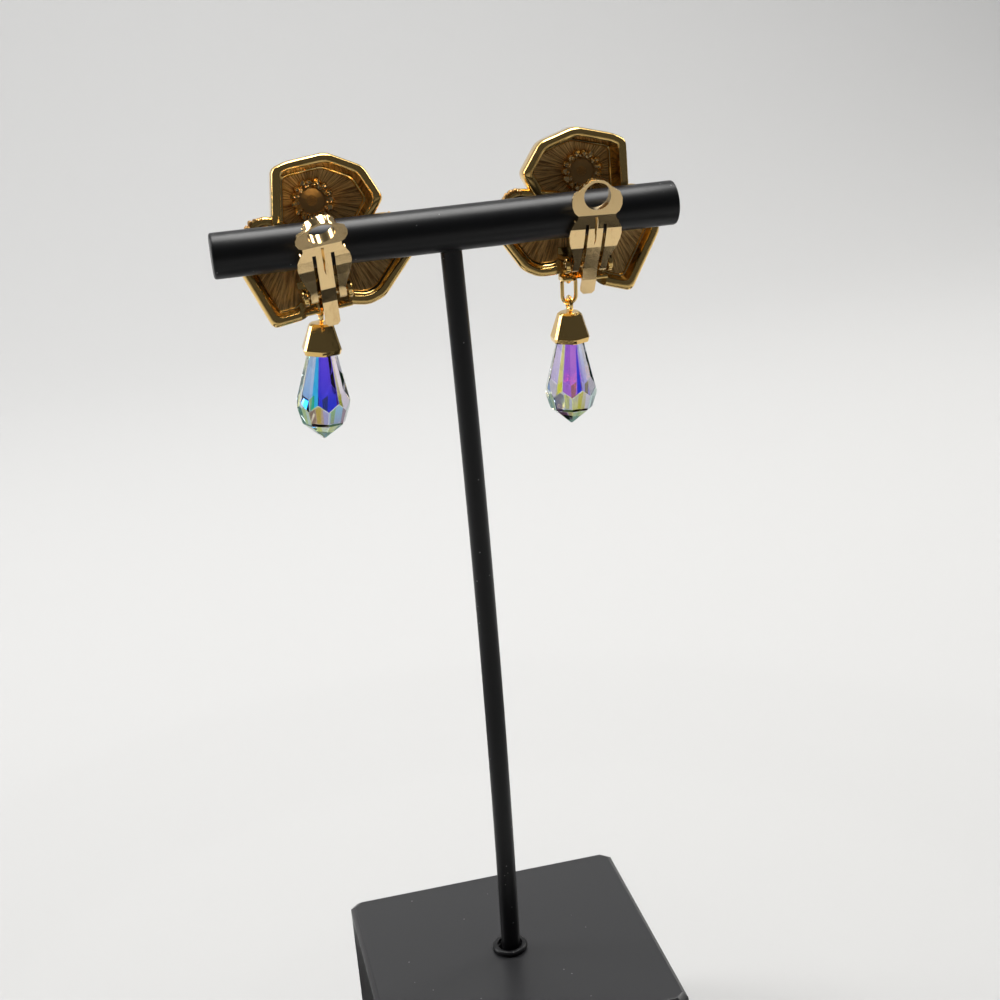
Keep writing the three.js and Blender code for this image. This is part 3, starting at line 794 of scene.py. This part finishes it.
def with_room(data):
    """Cuts the bracket's room out of a lower petal."""
    half = EAR_SPAN / 2 + GAP
    low = (CLIP_ACROSS - half, 2 * HINGE[0], HINGE[1] - 2 * LIP_DROP)
    high = (CLIP_ACROSS + half, BRACKET_FLOOR, HINGE[1] + ROOM_RISE)
    cutter = linked("room", block(low, high, 0.02))

    def cut(passing):
        change = passing.modifiers.new("room", "BOOLEAN")
        change.operation = "DIFFERENCE"
        change.solver = "EXACT"
        change.object = cutter

    result = evaluated(data, cut)
    bpy.data.objects.remove(cutter)
    return result


def ear_mesh(edge=0.08):
    """One bracket ear with its pin hole, across from 0 to its thickness."""
    depth = BRACKET_FLOOR - HINGE[0] + 0.6
    outline = arc(EAR_ROUND, 90, 270, 21, False)
    outline += [(depth, -EAR_ROUND), (depth, 0), (depth, EAR_ROUND)]

    def ring(across, pull, hole=False):
        made = []
        for v, w in outline:
            length = math.hypot(v, w)
            share = (PIN_HOLE + pull if hole else length - pull) / length
            made.append((across, v * share, w * share))
        return made

    far = EAR_THICKNESS
    return lofted("ear", [
        ring(edge, 0), ring(far - edge, 0), ring(far, edge), ring(far, edge, True),
        ring(far - edge, 0, True), ring(edge, 0, True), ring(0, edge, True), ring(0, edge),
    ], joined=True)


def bracket_parts(place):
    """Ears, base plate and lips, as parts in the earring's frame."""
    half = EAR_SPAN / 2
    floor = BRACKET_FLOOR - HINGE[0]
    hinge = hinge_matrix(place)
    parts = [(block((-half, floor, -LIP_DROP), (half, floor + PLATE_SINK, PLATE_RISE)), hinge, 0)]
    for way in (-1, 1):
        start = -half if way < 0 else half - EAR_THICKNESS
        parts.append((ear_mesh(), hinge @ Matrix.Translation((start, 0, 0)), 0))
        low, high = sorted((way * half, way * (TONGUE_WIDTH / 2 + GAP)))
        lip = block(
            (low, LIP_DEPTH - HINGE[0], -LIP_DROP),
            (high, floor + 0.3, LIP_THICKNESS - LIP_DROP), 0.14,
        )
        parts.append((lip, hinge, 0))
    return parts


def grain_tree():
    """Geometry nodes: lumpy grains along an arc."""
    if "Cast grains" in bpy.data.node_groups:
        return bpy.data.node_groups["Cast grains"]
    tree, given = new_group(
        "Cast grains",
        {"Count": 15, "Radius": 1.0, "Start": 0.0, "Sweep": 5.8, "Size": 0.5, "Seed": 3,
         "Material": "Material"},
        ("Geometry",), "Geometry", "Geometry",
    )
    line = put(tree, "GeometryNodeCurveArc", {
        "Resolution": 64, "Radius": given["Radius"], "Start Angle": given["Start"],
        "Sweep Angle": given["Sweep"],
    })
    spots = put(tree, "GeometryNodeCurveToPoints", {
        "Curve": line["Curve"], "Count": given["Count"],
    })
    grain = put(tree, "GeometryNodeMeshIcoSphere", {"Subdivisions": 3, "Radius": given["Size"]})
    turn = put(tree, "FunctionNodeRandomValue", {
        "Max": (6.28, 6.28, 6.28), "Seed": given["Seed"],
    }, data_type="FLOAT_VECTOR")
    grow = put(tree, "FunctionNodeRandomValue", {
        "Min": (0.75, 0.75, 0.75), "Max": (1.12, 1.12, 1.0), "Seed": given["Seed"],
    }, data_type="FLOAT_VECTOR")
    placed = put(tree, "GeometryNodeInstanceOnPoints", {
        "Points": spots["Points"], "Instance": grain["Mesh"], "Rotation": turn["Value"],
        "Scale": grow["Value"],
    })
    real = put(tree, "GeometryNodeRealizeInstances", {"Geometry": placed[0]})
    lumps = put(tree, "ShaderNodeTexNoise", {"Scale": 2.2, "Detail": 2.0})
    about = put(tree, "ShaderNodeVectorMath", {0: lumps["Color"], 1: (0.5, 0.5, 0.5)},
                operation="SUBTRACT")
    far = put(tree, "ShaderNodeVectorMath", {0: about[0], 1: (0.55, 0.55, 0.55)},
              operation="MULTIPLY")
    moved = put(tree, "GeometryNodeSetPosition", {"Geometry": real[0], "Offset": far[0]})
    soft = put(tree, "GeometryNodeSetShadeSmooth", {"Geometry": moved[0]})
    last = put(tree, "GeometryNodeSetMaterial", {
        "Geometry": soft[0], "Material": given["Material"],
    })
    return ended(tree, {"Geometry": last[0]})


def grains(count, radius, begin, sweep, size, seed, material):
    """Bakes a row of grains in the plane across the casting."""
    tree = grain_tree()
    values = {"Count": count, "Radius": radius, "Start": begin, "Sweep": sweep, "Size": size,
              "Seed": seed, "Material": material}

    def nodes(passing):
        change = passing.modifiers.new("grains", "NODES")
        change.node_group = tree
        for item in tree.interface.items_tree:
            if item.in_out == "INPUT":
                change[item.identifier] = values[item.name]

    data = evaluated(bpy.data.meshes.new("grains"), nodes)
    data.transform(Matrix.Rotation(math.pi / 2, 4, "X"))
    return data


def rosette_parts(sizes, gold):
    """A shallow dish with two rows of grains round it."""
    grain = sizes.grain_size / MM
    radius = ROSETTE_REACH - grain
    profile = [(radius + 0.3, 1), (radius + 0.15, -0.1), (radius - 0.1, -0.38),
               (ROSETTE_DISH + 0.25, -0.42), (ROSETTE_DISH + 0.05, -0.3), (ROSETTE_DISH, 0),
               (1.2, 0.14), (0.6, 0.22), (0.02, 0.25)]
    spot = Matrix.Translation((0, TOP_PETAL["floor"], ROSETTE_UP))
    dish = lathe(profile, 48, "Y")
    dish.attributes.remove(dish.attributes["brush"])
    parts = [(dish, spot, 1)]
    for count, reach, size, seed, lift in (
        (sizes.grain_count, radius, grain, 3, -0.42),
        (sizes.grain_count - 2, ROSETTE_DISH + 0.45, grain * 0.66, 8, -0.4),
    ):
        sweep = 2 * math.pi * (count - 1) / count
        data = grains(count, reach, 0.1 * seed, sweep, size, seed, gold)
        parts.append((data, spot @ Matrix.Translation((0, lift, 0)), 2))
    return parts


def bead_parts(gold):
    """Rows of lumps along the upper ends of the lower petals' rims."""
    parts = []
    for spot, radius, begin, sweep, count, seed in (
        ((-8.3, 1.4), 1.95, 75, 115, 6, 5), ((9.9, -0.3), 1.75, 10, 95, 5, 9),
    ):
        begin, sweep = math.radians(begin), math.radians(sweep)
        data = grains(count, radius, begin, sweep, BEAD_SIZE, seed, gold)
        parts.append((data, Matrix.Translation((spot[0], BEAD_DEPTH, spot[1])), 0))
    return parts


class EARRINGS_OT_castings(bpy.types.Operator):
    """Builds both flower castings with their brackets, rosettes and loops."""

    bl_idname = "earrings.castings"
    bl_label = "Flower castings"

    def execute(self, context):
        sizes = context.scene.earring_gold
        gold, floor, pale = gold_materials(sizes)
        rim_round = sizes.rim_round / MM
        upright = Matrix.Identity(4)
        for name, place in PLACES.items():
            loop_u, loop_w = place["loop"]
            foot = loop_w + (2 * LOOP_INNER + WIRE) / 2
            ring = [(loop_u, LOOP_DEPTH + c, loop_w + s) for c, s in arc(LOOP_INNER + WIRE)]
            stem = block(
                (loop_u - STEM_HALF, INNER_PETAL["floor"], foot),
                (loop_u + STEM_HALF, LOOP_DEPTH + STEM_HALF, foot + STEM_HEIGHT), 0.2,
            )
            solid = [
                (with_room(petal_mesh(OUTER_PETAL, rim_round)), upright, 0),
                (with_room(petal_mesh(INNER_PETAL, rim_round)), upright, 0),
                (petal_mesh(TOP_PETAL, rim_round), upright, 0),
                (tube(ring, WIRE), upright, 0),
                (stem, upright, 0),
                *bracket_parts(place),
                *rosette_parts(sizes, gold),
                *bead_parts(gold),
            ]
            whole = union(f"{name} flower", solid)
            whole.transform(to_row(place))
            if place["side"] < 0:
                whole.flip_normals()
            smooth(whole, 32)
            dressed(f"{name}_flower", whole, f"{name}_flower_casting",
                    [gold, floor, pale])
        return {"FINISHED"}


def hand_bent(data, place):
    """Creases the clip's arms and tongue slightly outward, as bending by hand leaves them."""
    sheet = to_row(place) @ hinge_matrix(place) @ turned(place["open"], "X")

    def crease(work):
        bmesh.ops.transform(work, matrix=sheet.inverted(), verts=work.verts)
        for z in sorted({z for z, _ in place["arm_bends"] + place["tongue_bends"]}):
            bmesh.ops.bisect_plane(
                work, geom=work.verts[:] + work.edges[:] + work.faces[:], dist=1e-4,
                plane_co=(0, 0, z), plane_no=(0, 0, 1),
            )
        for point in work.verts:
            on_tongue = abs(point.co.x) < TONGUE_WIDTH / 2 + 0.1 and point.co.z < TONGUE_TOP
            bends = place["tongue_bends" if on_tongue else "arm_bends"]
            point.co.y -= float(np.interp(point.co.z, *zip(*bends)))
        bmesh.ops.transform(work, matrix=sheet, verts=work.verts)

    return edited(data, crease)


class EARRINGS_OT_clips(bpy.types.Operator):
    """Builds both clip paddles and hinge pins."""

    bl_idname = "earrings.clips"
    bl_label = "Clips and pins"

    def execute(self, context):
        clip = gold_materials(context.scene.earring_gold)[2]
        half, blunt = EAR_SPAN / 2, 0.12
        for name, place in PLACES.items():
            node = f"{name}_clip_paddle"
            paddle = rounded(hand_bent(merged(node, 0.4), place), SOFT_EDGE, 2, 24)
            dressed(f"{name}_clip", crisp(paddle, 20, 1.2), node, [clip])
            pin = lathe([(0.01, -half), (0.3, -half), (0.4, blunt - half), (0.4, half - blunt),
                         (0.3, half), (0.01, half)], 24)
            pin.transform(to_row(place) @ hinge_matrix(place))
            dressed(f"{name}_pin", smooth(outward(pin)), f"{name}_hinge_pin", [clip])
        return {"FINISHED"}


# The coat's colours together with painted reflections, painted highlights and painted shade, as
# the light that comes through a facet
WHITE, CLEAR, GREY = (0.98, 0.98, 0.96), (0.9, 0.93, 0.91), (0.68, 0.72, 0.7)
CYAN, SKY, PALE_BLUE = (0.05, 0.58, 0.95), (0.38, 0.62, 0.94), (0.7, 0.84, 0.88)
ROYAL, VIOLET, PURPLE = (0.03, 0.05, 0.8), (0.16, 0.07, 0.82), (0.1, 0.02, 0.25)
ORCHID, MAUVE, LILAC = (0.58, 0.2, 0.78), (0.45, 0.2, 0.4), (0.66, 0.6, 0.86)
PEACH, GOLDEN, LEMON = (0.8, 0.6, 0.42), (0.85, 0.55, 0.08), (0.9, 0.9, 0.3)
# The near-black tint is painted shade, for facets that show dark surroundings
OLIVE, PAINTED_SHADE = (0.5, 0.52, 0.15), (0.12, 0.15, 0.12)
LAVENDER, CREAM = (0.45, 0.42, 0.8), (0.92, 0.9, 0.65)

# Facets from the far left round the front: (low, high, strip, share where the strip starts),
# painted per facet as the camera sees it
# LIT is a facet painted as a highlight, and the near-black tip facets are painted shade
PLAIN, LIT = (CLEAR, WHITE, WHITE, 1), (WHITE, CLEAR, WHITE, 1)
TIP_RIGHT = [(GREY, CLEAR, GREY, 1), LIT, (PAINTED_SHADE, CLEAR, WHITE, 0.8), (PAINTED_SHADE, WHITE, CLEAR, 0.8)]
FACET_COAT_AND_REFLECTIONS = {
    "left": {
        "crown": [
            PLAIN, (CLEAR, GREY, GREY, 1), (SKY, PALE_BLUE, CYAN, 0.62),
            (ROYAL, VIOLET, PURPLE, 0.92), (OLIVE, CREAM, WHITE, 0.3), (GREY, CLEAR, CLEAR, 0.6),
            (WHITE, CLEAR, CREAM, 0.7), (CLEAR, WHITE, PALE_BLUE, 0.5),
        ],
        "belly": [
            PLAIN, (CLEAR, PALE_BLUE, CLEAR, 0.8), (PEACH, PEACH, LILAC, 0.72),
            (LAVENDER, SKY, MAUVE, 0.78), (CLEAR, GREY, GREY, 0.5), (WHITE, CREAM, WHITE, 1),
            (CLEAR, WHITE, LEMON, 0.7), (WHITE, CLEAR, PEACH, 0.6),
        ],
        "tip": [
            PLAIN, LIT, (GOLDEN, LEMON, CREAM, 0.5), (PAINTED_SHADE, LEMON, PAINTED_SHADE, 0.7), *TIP_RIGHT,
        ],
    },
    "right": {
        "crown": [
            PLAIN, (CLEAR, GREY, CLEAR, 1), (CLEAR, WHITE, LEMON, 0.64),
            (ORCHID, ORCHID, ROYAL, 0.76), (LAVENDER, PALE_BLUE, GREY, 0.5),
            (PALE_BLUE, CLEAR, CLEAR, 1), (WHITE, CLEAR, CREAM, 0.7), (CLEAR, WHITE, LILAC, 0.5),
        ],
        "belly": [
            PLAIN, (GREY, CLEAR, WHITE, 0.8), (LILAC, CLEAR, LILAC, 0.7),
            (LEMON, CREAM, WHITE, 0.75), (PALE_BLUE, GREY, CLEAR, 0.5), (WHITE, CREAM, WHITE, 1),
            (CLEAR, WHITE, LEMON, 0.7), (WHITE, CLEAR, SKY, 0.6),
        ],
        "tip": [
            PLAIN, LIT, (PAINTED_SHADE, MAUVE, LILAC, 0.6), (PAINTED_SHADE, OLIVE, LEMON, 0.6), *TIP_RIGHT,
        ],
    },
}


def tint_facets(data, place, name):
    """Paints each facet its coat colours, reflections, highlights and shade by the way it faces,
    and gives each corner its place across and up the facet.
    """
    back = drop_matrix(place).to_3x3().normalized().inverted()
    layers = {
        key: data.attributes.new(f"facet_{key}", "FLOAT_COLOR", "FACE")
        for key in ("low", "high", "strip")
    }
    spots = data.attributes.new("facet_place", "FLOAT_VECTOR", "CORNER")
    for polygon in data.polygons:
        normal = back @ polygon.normal
        turn = math.degrees(math.atan2(normal.y, normal.x)) - place["stone"]
        tier, half = ("crown", 0) if normal.z > -0.05 else ("belly", 22.5)
        if normal.z < -0.5:
            tier = "tip"
        step = int(round(((turn - half + 225 + 720) % 360) / 45)) % 8
        low, high, strip, start = FACET_COAT_AND_REFLECTIONS[name][tier][step]
        # Small bevel faces between facets and the top face are painted white, as painted
        # highlights along the edges.
        if polygon.area < 0.8 * MM * MM or normal.z > 0.9:
            low, high, strip, start = WHITE, WHITE, WHITE, 1
        for key, tint in (("low", low), ("high", high), ("strip", strip)):
            squared = [c * c for c in tint]
            layers[key].data[polygon.index].color = (*squared, start + (0.5 if start >= 1 else 0))
        across = Vector((0, 0, 1)).cross(normal).normalized()
        corners = [back @ data.vertices[i].co for i in polygon.vertices]
        sides = [c.dot(across) for c in corners]
        heights = [c.z for c in corners]
        wide, tall = max(max(sides) - min(sides), 1e-9), max(max(heights) - min(heights), 1e-9)
        for loop, side, height in zip(polygon.loop_indices, sides, heights):
            spots.data[loop].vector = (
                (side - min(sides)) / wide, (height - min(heights)) / tall, 0
            )


class EARRINGS_OT_drops(bpy.types.Operator):
    """Builds both links, caps and crystals."""

    bl_idname = "earrings.drops"
    bl_label = "Crystal drops"

    def execute(self, context):
        gold = gold_materials(context.scene.earring_gold)[0]
        sizes = context.scene.earring_crystal
        crystal = bpy.data.materials.get("Coated crystal") or coated_crystal(
            "Coated crystal", sizes.coat
        )
        for name, place in PLACES.items():
            self.link(name, place, gold)
            node = f"{name}_drop_cap"
            cap = crisp(refined(node, SOFT_EDGE, 2, 25), 24, 0.4)
            dressed(f"{name}_cap", cap, node, [gold])
            self.stone(name, place, crystal, sizes.edge)
        return {"FINISHED"}

    def link(self, name, place, gold):
        """The oval wire link."""
        top = -LOOP_INNER + GAP + WIRE
        bottom = top - (place["link"] - 2 * WIRE)
        radius = LINK_WIDTH / 2 - WIRE
        path = [(c, 0, top - radius + s) for c, s in arc(radius, 0, 180, 17, False)]
        path += [(c, 0, bottom + radius + s) for c, s in arc(radius, 180, 360, 17, False)]
        data = tube(path, WIRE)
        data.transform(drop_matrix(place))
        dressed(f"{name}_link", smooth(data, 60), f"{name}_drop_link", [gold])

    def stone(self, name, place, crystal, edge):
        """The cut drop, with each facet's tint kept on its faces."""
        node = f"{name}_crystal_drop"
        data = refined(node, edge, 1, 8)
        tint_facets(data, place, name)
        dressed(f"{name}_crystal", data, node, [crystal])


class EARRINGS_OT_stand(bpy.types.Operator):
    """Builds the base block, collar, post and bar."""

    bl_idname = "earrings.stand"
    bl_label = "T-bar stand"

    def execute(self, context):
        sizes = context.scene.earring_stand
        black = dusty_black("Gloss black", sizes.rod_color, (0.36, 0.12, 500), (700, 0.09), 0.12,
                            (0.05, 0.0001), 0.35)
        satin = dusty_black("Satin block", sizes.base_color, (0.28, 0.2, 160), (420, 0.06), 0.16,
                            (0.04, 0.0002), 0.5)
        radius, half = sizes.bar_diameter / 2 / MM, sizes.bar_length / 2 / MM
        edge = BAR_EDGE
        outline = [(0.01, -half)]
        outline += [(radius - edge + c, edge - half + s) for c, s in arc(edge, -90, 0, 5, False)]
        outline += [(radius, x) for x in np.linspace(-half + 5, half - 5, 12)]
        outline += [(radius - edge + c, half - edge + s) for c, s in arc(edge, 0, 90, 5, False)]
        outline += [(0.01, half)]
        foot, top = POST_FOOT, BAR_HEIGHT - radius * 0.6
        post_radius = sizes.post_diameter / 2 / MM
        rings = []
        for t in np.linspace(0, 1, 25):
            bow = 2 * t * (1 - t)
            x, z = POST_BOW * bow, foot * (1 - t) ** 2 + (foot + top) / 2 * bow + top * t * t
            rings.append([(x + c, s, z) for c, s in arc(post_radius)])
        whole = union("post and bar", [
            (lathe(outline, 96), Matrix.Translation((0, 0, BAR_HEIGHT)), 0),
            (lofted("post", rings), Matrix.Identity(4), 0),
        ])
        whole.transform(Matrix.Scale(MM, 4))
        dressed("post_and_bar", smooth(whole), "stand_post_and_bar", [black])
        collar = smooth(refined("post_collar", 0.0001, 2, 30))
        dressed("collar", collar, "post_collar", [black])
        base = crisp(refined("stand_base", 0.0004, 3, 30), 20, 60)
        dressed("base", base, "stand_base", [satin])
        return {"FINISHED"}


class EARRINGS_OT_stage(bpy.types.Operator):
    """Sets the floor, backdrop, lights and camera."""

    bl_idname = "earrings.stage"
    bl_label = "Stage"

    def execute(self, context):
        self.sweep()
        self.cards()
        self.lights()
        self.world(context.scene)
        self.camera(context.scene)
        return {"FINISHED"}

    def sheet(self, name, points, faces, material):
        """A thin surface of one material."""
        data = bpy.data.meshes.new(name)
        data.from_pydata(points, [], faces)
        data.materials.append(material)
        return linked(name, data)

    def sweep(self):
        """A pale floor that curves up into the backdrop."""
        near, far, height, bend, half = -1.6, 0.5, 2.2, 0.4, 2.2
        profile = [(near, 0), (far, 0)]
        profile += [(far + bend * math.sin(a), bend - bend * math.cos(a))
                    for a in np.linspace(0.1, math.pi / 2, 14)]
        profile += [(far + bend, height)]
        points = [(x, y, z) for y, z in profile for x in (-half, half)]
        faces = [(a, a + 1, a + 3, a + 2) for a in range(0, len(points) - 2, 2)]
        paper = plain_material("Pale paper", (0.56, 0.56, 0.557), 0.85)
        sweep = self.sheet("sweep", points, faces, paper)
        sweep.data.polygons.foreach_set("use_smooth", [True] * len(faces))

    def cards(self):
        """Dark cards on the table that only the metal reflects."""
        black = plain_material("Black card", (0.01, 0.01, 0.01), 0.9)
        for inner, outer in ((0.0, 0.062), (0.108, 0.165)):
            points = [(radius * c, radius * s, 0.001)
                      for c, s in arc(1, count=64) for radius in (inner, outer)]
            last = len(points)
            faces = [(a, a + 1, (a + 3) % last, (a + 2) % last) for a in range(0, last, 2)]
            card = self.sheet("card", points, faces, black)
            for kind in ("camera", "diffuse", "transmission", "shadow"):
                setattr(card, f"visible_{kind}", False)

    def lights(self):
        """Soft boxes: one overhead, one on each side and one on the backdrop."""
        for name, spot, aim, size, power, color in (
            ("overhead", (0.05, 0.1, 0.75), (0, 0, 0.12), (0.45, 0.35), 4.6, (1, 0.99, 0.97)),
            ("left side", (-0.7, 0.3, 0.5), (0, 0, 0.13), (0.25, 0.6), 2.6, (1, 1, 1)),
            ("right side", (0.7, 0.3, 0.55), (0, 0, 0.13), (0.2, 0.5), 2.2, (1, 0.98, 0.95)),
            ("backdrop", (0, 0.35, 0.9), (0, 0.85, 0.2), (1.2, 0.3), 5.2, (1, 1, 1)),
        ):
            lamp = bpy.data.lights.new(name, "AREA")
            lamp.shape = "RECTANGLE"
            lamp.size, lamp.size_y = size
            lamp.energy = power
            lamp.color = color
            holder = linked(name, lamp)
            holder.location = spot
            direction = Vector(aim) - Vector(spot)
            holder.rotation_euler = direction.to_track_quat("-Z", "Y").to_euler()

    def world(self, scene):
        """A pale room, dim to everything but the camera."""
        world = bpy.data.worlds.new("Studio")
        world.use_nodes = True
        tree = world.node_tree
        seen = put(tree, "ShaderNodeLightPath")["Is Camera Ray"]
        feed(tree, tree.nodes["Background"], {
            "Color": (0.97, 0.98, 1.0, 1), "Strength": spanned(tree, seen, 0.0, 1.0, 0.07, 0.62),
        })
        scene.world = world
        scene.view_settings.view_transform = "Standard"

    def camera(self, scene):
        """The photograph's viewpoint."""
        spot = (-0.041139, -0.215396, 0.189269)
        yaw, pitch, roll = (math.radians(x) for x in (11.899, 20.409, -4.49))
        ahead = Vector((math.sin(yaw) * math.cos(pitch), math.cos(yaw) * math.cos(pitch),
                        -math.sin(pitch)))
        level = Vector((math.cos(yaw), -math.sin(yaw), 0))
        over = level.cross(ahead)
        right = level * math.cos(roll) + over * math.sin(roll)
        up = over * math.cos(roll) - level * math.sin(roll)
        focal_pixels, wide_pixels = 1564.695, 1000
        lens = bpy.data.cameras.new("camera")
        lens.sensor_fit = "HORIZONTAL"
        lens.sensor_width = 36
        lens.lens = focal_pixels * lens.sensor_width / wide_pixels
        lens.clip_start = 0.01
        camera = linked("camera", lens)
        facing = Matrix((right, up, -ahead)).transposed().to_4x4()
        camera.matrix_world = Matrix.Translation(spot) @ facing
        scene.camera = camera


class EARRINGS_PT_panel(bpy.types.Panel):
    """Lists the pieces and their sizes."""

    bl_idname = "EARRINGS_PT_panel"
    bl_label = "Earrings"
    bl_space_type = "VIEW_3D"
    bl_region_type = "UI"
    bl_category = "Earrings"

    def draw(self, context):
        layout = self.layout
        for group in ("earring_stand", "earring_gold", "earring_crystal"):
            settings = getattr(context.scene, group)
            for key in settings.__annotations__:
                layout.prop(settings, key)
        for operator in OPERATORS:
            layout.operator(operator.bl_idname)


OPERATORS = (
    EARRINGS_OT_stand, EARRINGS_OT_castings, EARRINGS_OT_clips, EARRINGS_OT_drops,
    EARRINGS_OT_stage,
)
SETTINGS = {
    "earring_stand": StandSizes, "earring_gold": GoldSizes, "earring_crystal": CrystalSizes,
}
CLASSES = (*SETTINGS.values(), *OPERATORS, EARRINGS_PT_panel)


def register():
    for item in CLASSES:
        bpy.utils.register_class(item)
    for name, kind in SETTINGS.items():
        setattr(bpy.types.Scene, name, bpy.props.PointerProperty(type=kind))


def unregister():
    for name in SETTINGS:
        delattr(bpy.types.Scene, name)
    for item in reversed(CLASSES):
        bpy.utils.unregister_class(item)


def main():
    register()
    bpy.ops.earrings.stand()
    bpy.ops.earrings.castings()
    bpy.ops.earrings.clips()
    bpy.ops.earrings.drops()
    bpy.ops.earrings.stage()


if __name__ == "__main__":
    main()
